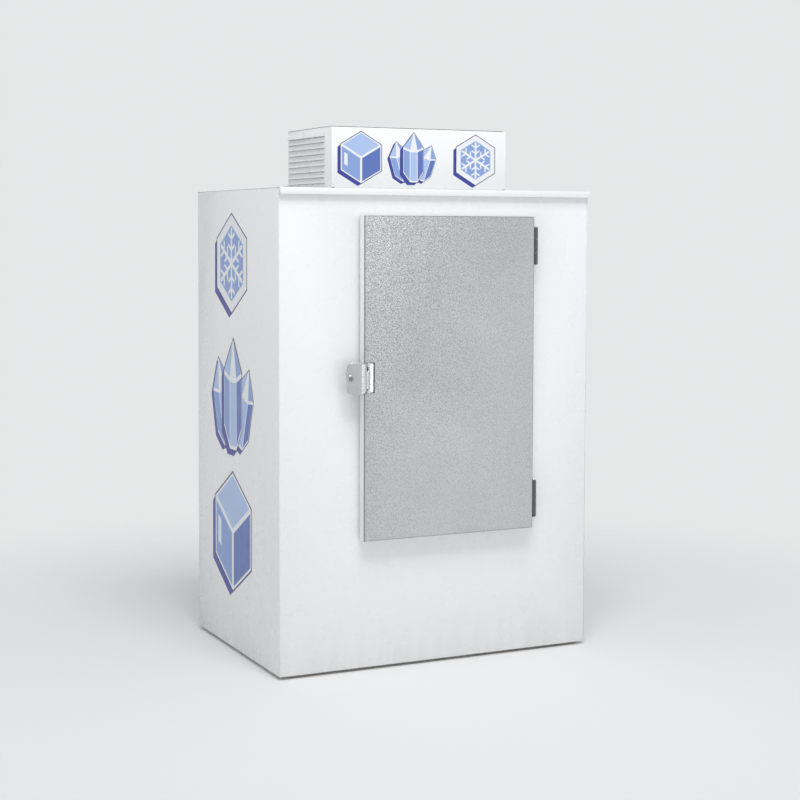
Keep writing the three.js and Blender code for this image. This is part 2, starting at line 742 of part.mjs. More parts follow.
function latchHandle() {
  const { wall, skirt } = paddle;
  const cup = paddleSolid(0, 0, skirt).subtract(paddleSolid(wall, wall, skirt + 1));
  const low = -latchPlate.height / 2 + latch.lug + RUN;
  const hub = rod(latch.hub, "z", low, hubTop);
  const neck = { left: -latch.pinIn - wall, right: 0, front: -latch.hub + 1, back: 0 };
  const fingerFrom = roller.fromPin + roller.radius + finger.besideRoller;
  const arm = {
    left: -fingerFrom - finger.width,
    right: -fingerFrom,
    front: -paddle.crest + wall - 1,
    back: wallBehindPin - finger.fromWall,
    bottom: finger.low,
    top: finger.high,
  };
  const boss = rod(lock.boss, "y", -lock.face + 0.5, skirt, [-lockFromPin, 0]);
  const bore = rod(lock.radius + FIT, "y", -2 * lock.face, skirt + 1, [-lockFromPin, 0]);
  const pinBore = rod(latch.pin + FIT, "z", low - 1, hubTop + 1, [0, 0], 16);
  const made = union(cup, hub, block({ ...neck, bottom: low + RUN, top: hubTop - RUN }), block(arm), boss);
  return without(made, bore, pinBore);
}

// The lock: a flanged cylinder through the paddle, with a tongue that a quarter turn brings
// behind the lug of the strike.
function lockCylinder() {
  const front = -lock.face + 0.5 - FIT - lock.rimDepth;
  const end = lock.tongueAt + tongue.thickness;
  const at = [-lockFromPin, 0];
  const slot = {
    left: at[0] - keyway.width / 2,
    right: at[0] + keyway.width / 2,
    front: front - 1,
    back: front + keyway.depth,
    bottom: -keyway.height / 2,
    top: keyway.height / 2,
  };
  const blade = roundedRect(at[0] - tongue.width / 2, at[0] + tongue.width / 2, -6, tongue.length, 3.5);
  return union(
    rod(lock.rim, "y", front, front + lock.rimDepth, at),
    rod(lock.radius, "y", front + 1, 14, at),
    rod(lock.radius - 3, "y", 13, lock.tongueAt + 1, at, 20),
    extrude(blade, "y", lock.tongueAt, end),
  ).subtract(block(slot));
}

// The strike on the front sheet: a plate with the lock's lug and two ears for the roller.
function strikePlate() {
  const back = wallBehindPin - FIT;
  const front = back - strike.plate;
  const plate = extrude(
    roundedRect(strike.besideLock - lockFromPin, -strike.right, strike.low, strike.high, 5),
    "y",
    front,
    back,
  );
  const lipFront = lock.tongueAt - strikeLug.lipGap - strikeLug.lip;
  const lipLeft = -lockFromPin + lock.radius + 4;
  const postLeft = -lockFromPin + tongue.length + 3;
  const lug = { right: postLeft + strikeLug.post, bottom: -strikeLug.half, top: strikeLug.half };
  const post = { ...lug, left: postLeft, front: lipFront, back: front + 1 };
  const over = { ...lug, left: lipLeft, front: lipFront, back: lipFront + strikeLug.lip };
  const axleY = wallBehindPin - roller.standOff;
  const ear = (bottom) =>
    union(
      rod(roller.radius - 1, "z", bottom, bottom + roller.ear, [-roller.fromPin, axleY]),
      block({
        left: -roller.fromPin - roller.radius + 1,
        right: -roller.fromPin + roller.radius - 1,
        front: axleY,
        back: front + 1,
        bottom,
        top: bottom + roller.ear,
      }),
    );
  const [low, high] = [finger.low - RUN - roller.ear, finger.high + RUN];
  const axle = rod(roller.pin, "z", low, high + roller.ear, [-roller.fromPin, axleY], 16);
  return union(plate, block(post), block(over), ear(low), ear(high), axle);
}

function strikeRoller() {
  const axleY = wallBehindPin - roller.standOff;
  const at = [-roller.fromPin, axleY];
  return rod(roller.radius, "z", finger.low, finger.high, at).subtract(
    rod(roller.pin + FIT, "z", finger.low - 1, finger.high + 1, at, 16),
  );
}

// ---------------------------------------------------------------- roof unit, from its front left foot

function unitPad() {
  const outer = {
    left: pad.inset,
    right: unit.width - pad.inset,
    front: pad.inset,
    back: unit.depth + tray.rearDeck - 2,
    bottom: FIT,
    top: FIT + pad.height,
  };
  const { bottom, top } = outer;
  const inner = { ...grown(outer, -pad.width), bottom: bottom - 1, top: top + 1 };
  return block(outer).subtract(block(inner));
}

// The tray that carries the unit: a shallow pan whose deck runs on behind the housing.
function unitTray() {
  const side = unit.sheet + FIT;
  const outer = {
    left: side,
    right: unit.width - side,
    front: side + unit.fold,
    back: unit.depth + tray.rearDeck,
    bottom: deckTop - unit.sheet,
    top: deckTop + tray.rim,
  };
  const inner = { ...grown(outer, -unit.sheet), bottom: deckTop, top: outer.top + 1 };
  const bore = line.suction + 1;
  const pipes = [suctionDrop, liquidDrop].map((at) => rod(bore, "z", 0, deckTop + 1, at, 16));
  return without(block(outer), block(inner), ...pipes);
}

const suctionDrop = [plug.fromUnitLeft + plug.width - 40, plug.fromUnitFront + plug.depth - 30];
const liquidDrop = [suctionDrop[0] - 40, suctionDrop[1]];

// The plain panel that carries the sign: folded back along its top and bottom.
function signPanel() {
  const [low, high] = [RUN, coverLow - FIT];
  const corners = [[unit.fold, high], [0, high], [0, low], [unit.fold, low]];
  const notch = unit.fold + FIT;
  const flanged = extrude(foldedSheet(corners, unit.sheet), "x", notch, unit.width - notch);
  const eased = BEND + unit.sheet;
  const face = { left: 0, right: unit.width, front: 0, back: unit.sheet };
  return union(flanged, block({ ...face, bottom: low + eased, top: high - eased }));
}

// One louvre hood: a wedge that leans out downwards, hollow behind and closed at its ends.
function louverHood(hand, face, top, from, to) {
  const wedge = (shrink) =>
    new THREE.Shape([
      new THREE.Vector2(face - hand * shrink * 2, top - shrink * 2),
      new THREE.Vector2(face + hand * (louver.depth - shrink), top - louver.hood),
      new THREE.Vector2(face - hand * shrink * 2, top - louver.hood),
    ]);
  const { sheet } = unit;
  const outside = extrude(wedge(0), "y", from, to);
  const below = { left: face, right: face + hand * 2 * louver.depth, front: from, back: to };
  const hollow = extrude(wedge(sheet), "y", from + sheet, to - sheet);
  const mouth = { ...below, bottom: top - louver.hood - 1, top: top - louver.hood + 0.2 };
  return without(outside, hollow, block(mouth));
}

// A louvred side of the housing, with a fold behind the sign panel and one at the rear.
function louverPanel(hand) {
  const face = hand > 0 ? unit.width : 0;
  const front = unit.sheet + FIT;
  const inner = face - hand * unit.fold;
  const corners = [[inner, front], [face, front], [face, unit.depth], [inner, unit.depth]];
  const [low, high] = [RUN, coverLow - FIT];
  const behind = { left: face - hand * 20, right: face - hand * unit.sheet, front, back: unit.depth };
  const clear = { ...behind, bottom: 0, top: deckTop + tray.rim + 1 };
  let panel = extrude(foldedSheet(corners, unit.sheet, hand), "z", low, high).subtract(block(clear));
  const [from, to] = [louver.fromFront, unit.depth - louver.fromBack];
  const count = Math.floor((unit.height - louver.first - louver.last) / louver.pitch) + 1;
  for (let i = 0; i < count; i += 1) {
    const top = unit.height - louver.first - i * louver.pitch + louver.hood;
    const slot = {
      left: face - hand * 2 * unit.sheet,
      right: face + hand,
      front: from + unit.sheet,
      back: to - unit.sheet,
      bottom: top - louver.hood,
      top: top - louver.hood + louver.slot,
    };
    panel = panel.subtract(block(slot)).add(louverHood(hand, face, top, from, to));
  }
  return panel;
}

function coverSheet() {
  const rear = unit.depth + FIT + unit.sheet;
  const corners = [[rear, unit.height - unit.fold], [rear, unit.height], [0, unit.height]];
  return extrude(foldedSheet(corners, unit.sheet), "x", 0, unit.width);
}

// The rear grille: rows of round-ended slots, and the hole for the power gland.
function rearPanel() {
  const side = unit.fold + FIT;
  const [low, high] = [deckTop + FIT, coverLow - FIT];
  const outline = new THREE.Shape([
    new THREE.Vector2(side, low),
    new THREE.Vector2(unit.width - side, low),
    new THREE.Vector2(unit.width - side, high),
    new THREE.Vector2(side, high),
  ]);
  const { columns, height, pitch, gap, first, last, fromSide } = rearSlot;
  const count = Math.floor((unit.height - first - last) / pitch) + 1;
  const length = (unit.width - 2 * fromSide - (columns - 1) * gap) / columns;
  for (let row = 0; row < count; row += 1) {
    for (let column = 0; column < columns; column += 1) {
      const u = fromSide + column * (length + gap);
      const v = unit.height - first - row * pitch;
      const nearGland = v < gland.height + gland.flange + height && column === columns - 1;
      if (!nearGland) {
        outline.holes.push(roundedRect(u, u + length, v, v + height, height / 2 - 0.01));
      }
    }
  }
  const back = unit.depth;
  const at = [unit.width - gland.fromRight, gland.height];
  const hole = rod(gland.radius + FIT, "y", back - 5, back + 5, at);
  return extrude(outline, "y", back - unit.sheet, back, 1).subtract(hole);
}

// The inlet bush in the rear grille.
function powerGland() {
  const outer = unit.depth + FIT;
  const at = [unit.width - gland.fromRight, gland.height];
  const { radius, flange, reach } = gland;
  return union(
    rod(radius, "y", outer - 12, outer + 1, at),
    rod(flange, "y", outer, outer + 4, at, 6),
    rod(radius - 1, "y", outer + 3, outer + reach, at),
  ).subtract(rod(radius - 4, "y", outer - 13, outer + reach + 1, at, 16));
}

// A finned block: both faces cut into fins by V grooves, with a plate and return bends at each end.
function finnedCoil({ along, across, low, high, fins, groove }) {
  const [a0, a1] = along;
  const [b0, b1] = across;
  const step = (a1 - a0) / fins;
  const ridge = (edge, inner) =>
    Array.from({ length: fins }, (_, i) => [
      new THREE.Vector2(a0 + i * step + step * 0.25, edge),
      new THREE.Vector2(a0 + (i + 1) * step - step * 0.25, edge),
      new THREE.Vector2(a0 + (i + 1) * step, i < fins - 1 ? inner : edge),
    ]).flat();
  const outline = new THREE.Shape([
    new THREE.Vector2(a0, b0),
    ...ridge(b0, b0 + groove),
    ...ridge(b1, b1 - groove).reverse(),
    new THREE.Vector2(a0, b1),
  ]);
  return { outline, low, high };
}

// A tube's return bend: half a ring standing out of a coil's end plate.
function returnBend(end, outward, across, low, pitch, radius) {
  const points = Array.from({ length: 5 }, (_, i) => {
    const angle = (Math.PI * i) / 4;
    const out = outward * Math.sin(angle) * pitch;
    return [across, end + out / 2, low + (pitch * (1 - Math.cos(angle))) / 2];
  });
  const [first, last] = [points[0], points[points.length - 1]];
  const root = (p) => [p[0], p[1] - outward * 3, p[2]];
  return tube([root(first), ...points, root(last)], radius, 5, 5);
}

function condenserCoil() {
  const { x, thickness, front, fins, groove } = condenser;
  const { width, height } = coilSize;
  const [low, high] = [deckTop + FIT, deckTop + height];
  const back = front + width;
  const { outline } = finnedCoil({ along: [front, back], across: [x, x + thickness], fins, groove });
  const turnedOutline = new THREE.Shape(outline.getPoints().map((p) => new THREE.Vector2(p.y, p.x)));
  const pack = extrude(turnedOutline, "z", low, high);
  const wide = { left: x - 3, right: x + thickness + 3, bottom: low, top: high };
  const plate = (y) => block({ ...wide, front: y, back: y + 2 });
  const bends = [0.14, 0.43, 0.72].flatMap((share) => [
    returnBend(front, -1, x + thickness / 3, low + share * height, 24, 4),
    returnBend(back, 1, x + thickness / 3, low + share * height, 24, 4),
  ]);
  return union(pack, plate(front - 1), plate(back - 1), ...bends);
}

// The shroud behind the condenser: a plate with a short ring round the fan.
function condenserShroud() {
  const { x, thickness, front } = condenser;
  const { width, height } = coilSize;
  const near = x + thickness + 3 + FIT;
  const { gap, length } = fanRing;
  const at = [fanCentre.y, fanCentre.z];
  const sheet = unit.sheet;
  const plate = block({
    left: near,
    right: near + sheet,
    front: front - 1,
    back: front + width + 1,
    bottom: deckTop + FIT,
    top: deckTop + height,
  });
  const radius = fanRadius + gap;
  return union(plate, rod(radius + sheet, "x", near, near + length, at, 32)).subtract(
    rod(radius, "x", near - 1, near + length + 1, at, 32),
  );
}

// One fan blade: a cambered section that twists from root to tip, lofted along X about the Z axis.
function fanBlade(rootRadius, tipRadius, chord, rootPitch, tipPitch) {
  const stations = 3;
  const rings = Array.from({ length: stations + 1 }, (_, i) => {
    const t = i / stations;
    const radius = rootRadius + t * (tipRadius - rootRadius);
    const pitch = THREE.MathUtils.degToRad(rootPitch + t * (tipPitch - rootPitch));
    const width = chord * (0.5 + 0.5 * Math.sin(0.55 * Math.PI * t));
    const section = [[-0.5, 0], [-0.18, 1], [0.2, 0.9], [0.5, 0], [0.2, -0.9], [-0.18, -1]];
    return section.map(([s, side]) => {
      const camber = (0.25 - s * s) * width * 0.28;
      const lift = camber + side * 0.9;
      const tangent = s * width * Math.cos(pitch) - lift * Math.sin(pitch);
      const axial = s * width * Math.sin(pitch) + lift * Math.cos(pitch);
      const sweep = tangent / radius;
      return new THREE.Vector3(radius * Math.cos(sweep), radius * Math.sin(sweep), axial);
    });
  });
  return rings;
}

// A fan about Z: a domed hub, blades and the shaft that runs back into its motor.
function fan(radius, { hub, hubLength, blades, shaft }, shaftLength) {
  const half = hubLength / 2;
  let made = turned([[0, -half], [hub, -half], [hub, half - 1.5], [hub - 1.5, half], [0, half]], 20);
  made = made.add(rod(shaft, "z", -half - shaftLength, 0, [0, 0], 10));
  const rings = fanBlade(hub - 3, radius, radius * 0.62, 48, 22);
  for (let i = 0; i < blades; i += 1) {
    const angle = (2 * Math.PI * (i + 0.07)) / blades;
    made = made.add(loft(rings.map((ring) => ring.map((p) => p.clone().applyAxisAngle(Z, angle)))));
  }
  return made;
}

// A fan motor about Z, its front face at 0: a ribbed can, a bearing boss bored for the shaft,
// and a folded leg that stands on what lies below.
function fanMotor({ radius, length, leg, legSheet }, shaft, drop) {
  const can = turned([
    [0, -length],
    [radius - 6, -length],
    [radius, -length + 6],
    [radius, -8],
    [radius - 8, 0],
    [0, 0],
  ]);
  const boss = rod(shaft + 5, "z", -2, 3, [0, 0], 16);
  const middle = -length * 0.6;
  const foot = { left: -drop, front: -leg / 2, back: leg / 2, bottom: middle };
  const strap = union(
    block({ ...foot, right: 0, top: middle + legSheet }),
    block({ ...foot, right: legSheet - drop, top: middle + 28 }),
  );
  return without(union(can, boss, strap), rod(shaft + FIT, "z", -length / 2, 5, [0, 0], 16));
}

// The hermetic compressor: an oval shell on a foot plate, with its terminal box and stubs.
function compressorShell() {
  const { radius, oval, height, foot, footSheet } = compressor;
  const profile = [
    [0, 0],
    [radius * 0.55, 0],
    [radius * 0.93, 20],
    [radius, 44],
    [radius, 68],
    [radius + 4, 70],
    [radius + 4, 74],
    [radius, 76],
    [radius * 0.97, 112],
    [radius * 0.8, 136],
    [radius * 0.45, height - 3],
    [0, height],
  ];
  const points = profile.map(([r, h]) => new THREE.Vector2(r, h));
  const can = solid(
    new THREE.LatheGeometry(points, 18).rotateX(Math.PI / 2).scale(1, oval, 1).translate(0, 0, 8),
  );
  const plate = extrude(roundedRect(-foot, foot, -foot * 0.6, foot * 0.6, 14), "z", 0, footSheet);
  const legs = [-1, 1].flatMap((u) =>
    [-1, 1].map((v) => rod(9, "z", 0, footSheet + 9, [u * foot * 0.82, v * foot * 0.44], 8)),
  );
  const terminals = block({
    left: -30,
    right: 30,
    front: -radius * oval - 18,
    back: -radius * 0.6,
    bottom: 52,
    top: 104,
  });
  const ring = rod(radius * 0.6, "z", 0, footSheet + 9);
  return union(can, plate, ring, terminals, ...legs);
}

function controlHousing() {
  const { fromRight, width, front, fromBack, height, lid } = controlBox;
  const right = unit.width - fromRight;
  const left = right - width;
  const back = unit.depth - fromBack;
  const bottom = deckTop + FIT;
  const body = { left, right, front, back, bottom, top: bottom + height - lid };
  const cap = { ...grown(body, 2), bottom: body.top - lid, top: bottom + height };
  const hollow = { ...grown(body, -LINER), bottom: bottom - 1 };
  const bush = rod(11, "x", left - 4, left, [(front + back) / 2, bottom + height / 3], 12);
  return union(block(body), block(cap), bush).subtract(block(hollow));
}

function dischargeLine() {
  const { x, y, radius } = compressor;
  const start = [x - radius * 0.7, y + radius * 0.95, deckTop + 96];
  const coilX = condenser.x + condenser.thickness / 2;
  const coilTop = deckTop + coilSize.height + FIT;
  const end = [coilX, condenser.front + coilSize.width - 30, coilTop];
  const high = coilTop + 12;
  return tube(
    [
      start,
      [start[0] - 10, start[1] + 10, start[2] + 20],
      [start[0] - 30, start[1] + 24, high - 12],
      [start[0] - 70, start[1] + 28, high],
      [end[0] + 60, end[1] + 6, high],
      [end[0] + 14, end[1], high],
      [end[0], end[1], high - 6],
      end,
    ],
    line.discharge,
    26,
  );
}

// From the foot of the condenser, through the filter drier, to the liquid drop.
function liquidLine() {
  const [x, y] = liquidDrop;
  const coilX = condenser.x + (2 * condenser.thickness) / 3;
  const plateY = condenser.front + coilSize.width + 1 + FIT;
  const runY = plateY + drier.behindCoil;
  const { z, half, radius, taper } = drier;
  const pipe = tube(
    [
      [coilX, plateY, z],
      [coilX, plateY + 6, z],
      [coilX + 8, runY - 3, z],
      [coilX + 30, runY, z],
      [drier.x, runY, z],
      [x - 40, runY, z],
      [x - 8, runY - 12, z],
      [x, y, z - 8],
      [x, y, z - 24],
      [x, y, FIT],
    ],
    line.liquid,
    28,
  );
  const ends = [[0, -half], [line.liquid + 1, -half], [radius, taper - half]];
  const can = turned([...ends, [radius, half - taper], [line.liquid + 1, half], [0, half]], 14);
  return pipe.add(can.rotate([0, 90, 0]).translate([drier.x, runY, z]));
}

function suctionLine() {
  const [x, y] = suctionDrop;
  const side = compressor.x + compressor.radius + line.suction + 3;
  return tube(
    [
      [x, y, FIT],
      [x, y, 60],
      [x + 2, y - 12, 96],
      [side + 4, y - 70, 110],
      [side, compressor.y, 108],
      [side, compressor.y - 34, 96],
      [side, compressor.y - 44, 60],
      [side - 6, compressor.y - 50, 34],
    ],
    line.suction,
    22,
  );
}

// The insulated plug under the tray that closes the hole in the roof.
function roofPlug() {
  return block({
    left: plugHole.left + FIT,
    right: plugHole.right - FIT,
    front: plugHole.front + FIT,
    back: plugHole.back - FIT,
    bottom: room.top,
    top: shell.top,
  });
}

// ---------------------------------------------------------------- evaporator, under the ceiling

const cooler = {
  left: (plugHole.left + plugHole.right - evaporator.width) / 2,
  right: (plugHole.left + plugHole.right + evaporator.width) / 2,
  front: plugHole.front,
  back: plugHole.front + evaporator.depth,
  bottom: room.top - FIT - evaporator.height,
  top: room.top - FIT,
};
const mouthAt = [(cooler.left + cooler.right) / 2, (cooler.bottom + cooler.top) / 2];

// The casing: a folded trough with a front wall, open to the rear, hung by a flange at each side.
function evaporatorCasing() {
  const { sheet, flange } = evaporator;
  const corners = [
    [cooler.left - flange, cooler.top - sheet],
    [cooler.left, cooler.top - sheet],
    [cooler.left, cooler.bottom],
    [cooler.right, cooler.bottom],
    [cooler.right, cooler.top - sheet],
    [cooler.right + flange, cooler.top - sheet],
  ];
  const trough = extrude(foldedSheet(corners, sheet, 1), "y", cooler.front, cooler.back);
  const wall = block({ ...grown(cooler, -sheet / 2), front: cooler.front, back: cooler.front + sheet });
  const collar = rod(mouthRadius + 3, "y", cooler.front, cooler.front + 12, mouthAt, 24);
  const hole = rod(mouthRadius, "y", cooler.front - 1, cooler.front + 14, mouthAt, 24);
  const outlet = rod(condensate.radius - 1.5, "z", cooler.bottom - 1, cooler.bottom + 4, outletAt, 16);
  return without(union(trough, wall, collar), hole, outlet);
}

const outletAt = [cooler.right - condensate.fromRight, cooler.back - 30];

function coolerCoil() {
  const { fromSide, depth, fromBack, lift, headroom } = evaporatorCoil;
  const height = evaporator.height - lift - headroom;
  const along = [cooler.left + fromSide, cooler.right - fromSide];
  const back = cooler.back - fromBack;
  const low = cooler.bottom + evaporator.sheet + FIT;
  const { outline } = finnedCoil({ along, across: [back - depth, back], ...evaporatorFins });
  const pack = extrude(outline, "z", low + lift, low + lift + height);
  const tall = { front: back - depth - 3, back: back + 3, bottom: low, top: low + lift + height };
  const plate = (x) => block({ ...tall, left: x, right: x + 2 });
  return union(pack, plate(along[0] - 1), plate(along[1] - 1));
}

// The wire guard over the fan: concentric rings on radial wires, one piece.
function fanGuard() {
  const { wire, rings, inner, spokes, standOff } = guard;
  const outer = mouthRadius + 4;
  const loops = Array.from({ length: rings }, (_, i) => {
    const radius = inner + ((outer - inner) * i) / (rings - 1);
    return solid(new THREE.TorusGeometry(radius, wire, 3, 16).rotateX(Math.PI / 2));
  });
  const wires = Array.from({ length: spokes }, (_, i) => {
    const angle = (Math.PI * i) / spokes + Math.PI / 8;
    const reach = outer + 6;
    const bar = new THREE.CylinderGeometry(wire, wire, 2 * reach, 3).rotateX(Math.PI / 2);
    return solid(bar.rotateY(angle).translate(0, wire, 0));
  });
  const feet = Array.from({ length: 2 * spokes }, (_, i) => {
    const angle = (Math.PI * i) / spokes + Math.PI / 8;
    const [u, v] = [(outer + 4) * Math.sin(angle), (outer + 4) * Math.cos(angle)];
    return rod(wire * 1.3, "y", 0, standOff, [u, v], 4);
  });
  const made = union(...loops, ...wires, ...feet);
  return made.translate([mouthAt[0], cooler.front - FIT - standOff, mouthAt[1]]);
}

// The condensate tube: from the casing's outlet to the back wall and down to the floor.
function condensateTube() {
  const [x, y] = outletAt;
  const wallY = room.back - rib.depth - condensate.fromWall;
  const low = cooler.bottom - FIT;
  return tube(
    [
      [x, y, low],
      [x, y, low - 12],
      [x, y, low - 24],
      [x, y + 24, low - 48],
      [x, wallY - 60, low - 64],
      [x, wallY - 14, low - 72],
      [x, wallY, low - 100],
      [x, wallY, low - 300],
      [x, wallY, room.bottom + 300],
      [x, wallY, room.bottom + rack.runner + rack.slat + 12],
    ],
    condensate.radius,
    24,
  );
}

// ---------------------------------------------------------------- assembly

const merchandiser = new THREE.Group();

const body = new THREE.Group();
body.add(
  part("base_frame", baseFrame(), "galvanized"),
  part("bottom_panel", bottomPanel(), "galvanized"),
  part("left_side_panel", sidePanel(-1), "whiteGloss"),
  part("right_side_panel", sidePanel(1), "whiteGloss"),
  part("back_panel", endSheet(shell.back, -1), "whiteGloss"),
  part("front_panel", frontPanel(), "whiteGloss"),
  part("roof_panel", roofPanel(), "whiteGloss"),
  part("foam_core", foamCore(), "foam"),
  part("liner_left_wall", linerSide(-1), "whiteLiner"),
  part("liner_right_wall", linerSide(1), "whiteLiner"),
  part("liner_back_wall", linerBack(), "whiteLiner"),
  part("liner_front_wall", linerFront(), "whiteLiner"),
  part("liner_ceiling", linerCeiling(), "whiteLiner"),
  part("liner_floor", linerFloor(), "whiteLiner"),
  part("door_jamb", doorJamb(), "whitePlastic"),
  part("floor_rack_left", floorRack(-1), "whitePlastic"),
  part("floor_rack_right", floorRack(1), "whitePlastic"),
  part("floor_drain", drainSpout(), "whitePlastic"),
  part("roof_plug", roofPlug(), "foam"),
  part("evaporator_casing", evaporatorCasing(), "aluminium"),
  part("evaporator_coil", coolerCoil(), "aluminium"),
  part("evaporator_fan_guard", fanGuard(), "galvanized"),
  part("condensate_tube", condensateTube(), "whitePlastic"),
);

const evaporatorAxis = new THREE.Group();
evaporatorAxis.position.set(mouthAt[0], cooler.front + evaporatorFan.behind, mouthAt[1]);
evaporatorAxis.rotation.x = Math.PI / 2; // the fan's own Z points to the front
const evaporatorBlades = part(
  "evaporator_fan",
  fan(mouthRadius - evaporatorFan.gap, evaporatorFan, 20),
  "blackPaint",
);
const evaporatorDrive = part(
  "evaporator_fan_motor",
  fanMotor(evaporatorMotor, evaporatorFan.shaft, evaporator.height / 2 - evaporator.sheet - FIT),
  "blackPaint",
);
evaporatorDrive.position.z = -evaporatorFan.hubLength / 2 - 5;
evaporatorDrive.rotation.z = Math.PI / 2;
evaporatorAxis.add(evaporatorBlades, evaporatorDrive);

const leaf = new THREE.Group();
leaf.position.set(doorway.left - door.lap, leafRear, doorway.bottom - door.lap);
leaf.add(
  part("door_outer_skin", doorSkin(), "stucco"),
  part("door_edge_trim", doorTrim(), "whitePlastic"),
  part("door_foam", doorFoam(), "foam"),
  part("door_inner_pan", doorInnerPan(), "whitePlastic"),
  part("door_gasket", doorGasket(), "gasketGrey"),
);

const latchSet = new THREE.Group();
latchSet.position.set(latch.pinIn, -door.thickness - faceBehindPin, latch.fromBottom);
latchSet.add(
  part("latch_base", latchBase(), "chrome"),
  part("latch_pin", latchPin(), "chrome"),
  part("latch_spring", latchSpring(), "chrome"),
  part("latch_handle", latchHandle(), "chrome"),
  part("lock_cylinder", lockCylinder(), "chrome"),
  part("strike_plate", strikePlate(), "chrome"),
  part("strike_roller", strikeRoller(), "whitePlastic"),
);
leaf.add(latchSet);

const hingeHeights = {
  top: leafSize.height - hingePlace.fromTop - hinge.height,
  bottom: hingePlace.fromBottom,
};
for (const [place, height] of Object.entries(hingeHeights)) {
  const set = new THREE.Group();
  set.position.set(leafSize.width + hinge.axisOut, door.standOff - hingeForward, height);
  set.add(
    part(`hinge_frame_leaf_${place}`, hingeFrameLeaf(), "darkChrome"),
    part(`hinge_door_leaf_${place}`, hingeDoorLeaf(), "darkChrome"),
    part(`hinge_pin_${place}`, hingePin(), "darkChrome"),
  );
  leaf.add(set);
}

const top = new THREE.Group();
top.position.set(unitLeft, shell.front, shell.top);
top.add(
  part("unit_gasket", unitPad(), "rubber"),
  part("unit_tray", unitTray(), "galvanized"),
  part("sign_panel", signPanel(), "whiteGloss"),
  part("left_louver_panel", louverPanel(-1), "whiteGloss"),
  part("right_louver_panel", louverPanel(1), "whiteGloss"),
  part("rear_grille", rearPanel(), "whiteGloss"),
  part("top_cover", coverSheet(), "whiteGloss"),
  part("power_gland", powerGland(), "blackPaint"),
  part("condenser_coil", condenserCoil(), "aluminium"),
  part("condenser_shroud", condenserShroud(), "galvanized"),
  part("discharge_line", dischargeLine(), "copper"),
  part("liquid_line", liquidLine(), "copper"),
  part("suction_line", suctionLine(), "copper"),
  part("control_box", controlHousing(), "galvanized"),
);

const compressorSet = part("compressor", compressorShell(), "blackPaint");
compressorSet.position.set(compressor.x, compressor.y, deckTop + FIT);
top.add(compressorSet);

const condenserAxis = new THREE.Group();
const ringStart = condenser.x + condenser.thickness + 3 + FIT;
condenserAxis.position.set(ringStart + fanRing.length / 2, fanCentre.y, fanCentre.z);
condenserAxis.rotation.y = -Math.PI / 2; // the fan's own Z points to the louvres
const condenserBlades = part("condenser_fan", fan(fanRadius, condenserFan, 26), "blackPaint");
const condenserDrive = part(
  "condenser_fan_motor",
  fanMotor(condenserMotor, condenserFan.shaft, fanCentre.z - deckTop - FIT),
  "blackPaint",
);
condenserDrive.position.z = -condenserFan.hubLength / 2 - 6;
condenserAxis.add(condenserBlades, condenserDrive);
top.add(condenserAxis);

merchandiser.add(body, evaporatorAxis, leaf, top);

export default merchandiser;
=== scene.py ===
# %% [markdown]
# # An upright ice merchandiser
#
# The object is a white sheet-steel freezer for bagged ice. One overlay door in stucco-embossed
# steel hangs on two edge-mounted hinges and closes on a chrome paddle latch. A low refrigeration
# unit with louvred sides stands on the roof. Blue ice motifs decorate the left side and the unit.
#
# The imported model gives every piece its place, in metres: +X to the hinge side, +Y to the back, +Z
# up. This lesson lights it, gives each piece its finish, and adds what CAD leaves out.

# %% Load the frame
import json
import math

import bmesh
import bpy
from mathutils import Matrix, Vector


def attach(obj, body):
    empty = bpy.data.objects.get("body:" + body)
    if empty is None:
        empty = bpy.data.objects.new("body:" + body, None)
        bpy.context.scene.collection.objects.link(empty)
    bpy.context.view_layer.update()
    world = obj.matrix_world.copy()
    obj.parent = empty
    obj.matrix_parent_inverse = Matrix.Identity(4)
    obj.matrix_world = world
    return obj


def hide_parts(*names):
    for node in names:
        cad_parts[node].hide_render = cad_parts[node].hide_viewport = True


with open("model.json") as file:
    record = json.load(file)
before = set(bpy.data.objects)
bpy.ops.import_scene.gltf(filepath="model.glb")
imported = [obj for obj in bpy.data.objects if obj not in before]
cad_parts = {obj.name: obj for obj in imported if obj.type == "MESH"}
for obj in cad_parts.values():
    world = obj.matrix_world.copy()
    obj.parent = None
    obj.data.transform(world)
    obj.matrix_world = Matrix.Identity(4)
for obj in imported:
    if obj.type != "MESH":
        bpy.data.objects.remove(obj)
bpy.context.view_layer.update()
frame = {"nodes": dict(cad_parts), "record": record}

scene = bpy.context.scene
MM = 0.001


# %% [markdown]
# ## Camera
#
# The camera's place comes from fitting a pinhole camera to the corners of the cabinet, the roof
# unit and the door, so the proportions in the render agree with the photograph's. It looks slightly
# down and to the right. A small vertical shift keeps the uprights nearly parallel, as in the
# photograph.

# %% Camera
CAMERA_PLACE = Vector((-2.8152, -5.9438, 1.6166))
CAMERA_YAW = math.radians(-25.727)
CAMERA_PITCH = math.radians(3.056)
CAMERA_ROLL = math.radians(0.172)
FOCAL_LENGTH, SENSOR_WIDTH = 74.77, 36
VERTICAL_SHIFT = -0.10

camera = bpy.data.objects.new("camera", bpy.data.cameras.new("camera"))
camera.data.lens = FOCAL_LENGTH
camera.data.sensor_width = SENSOR_WIDTH
camera.data.shift_y = VERTICAL_SHIFT
camera.location = CAMERA_PLACE
camera.rotation_euler = (
    Matrix.Rotation(CAMERA_YAW, 3, "Z")
    @ Matrix.Rotation(math.pi / 2 - CAMERA_PITCH, 3, "X")
    @ Matrix.Rotation(CAMERA_ROLL, 3, "Z")
).to_euler()
scene.collection.objects.link(camera)
scene.camera = camera
print("camera at", tuple(round(v, 2) for v in camera.location))


# %% [markdown]
# ## A way to write node trees
#
# Shaders, the world and Geometry Nodes are all node trees. One helper adds a node, sets its options
# and joins its inputs: a socket is linked, and anything else becomes the input's value.

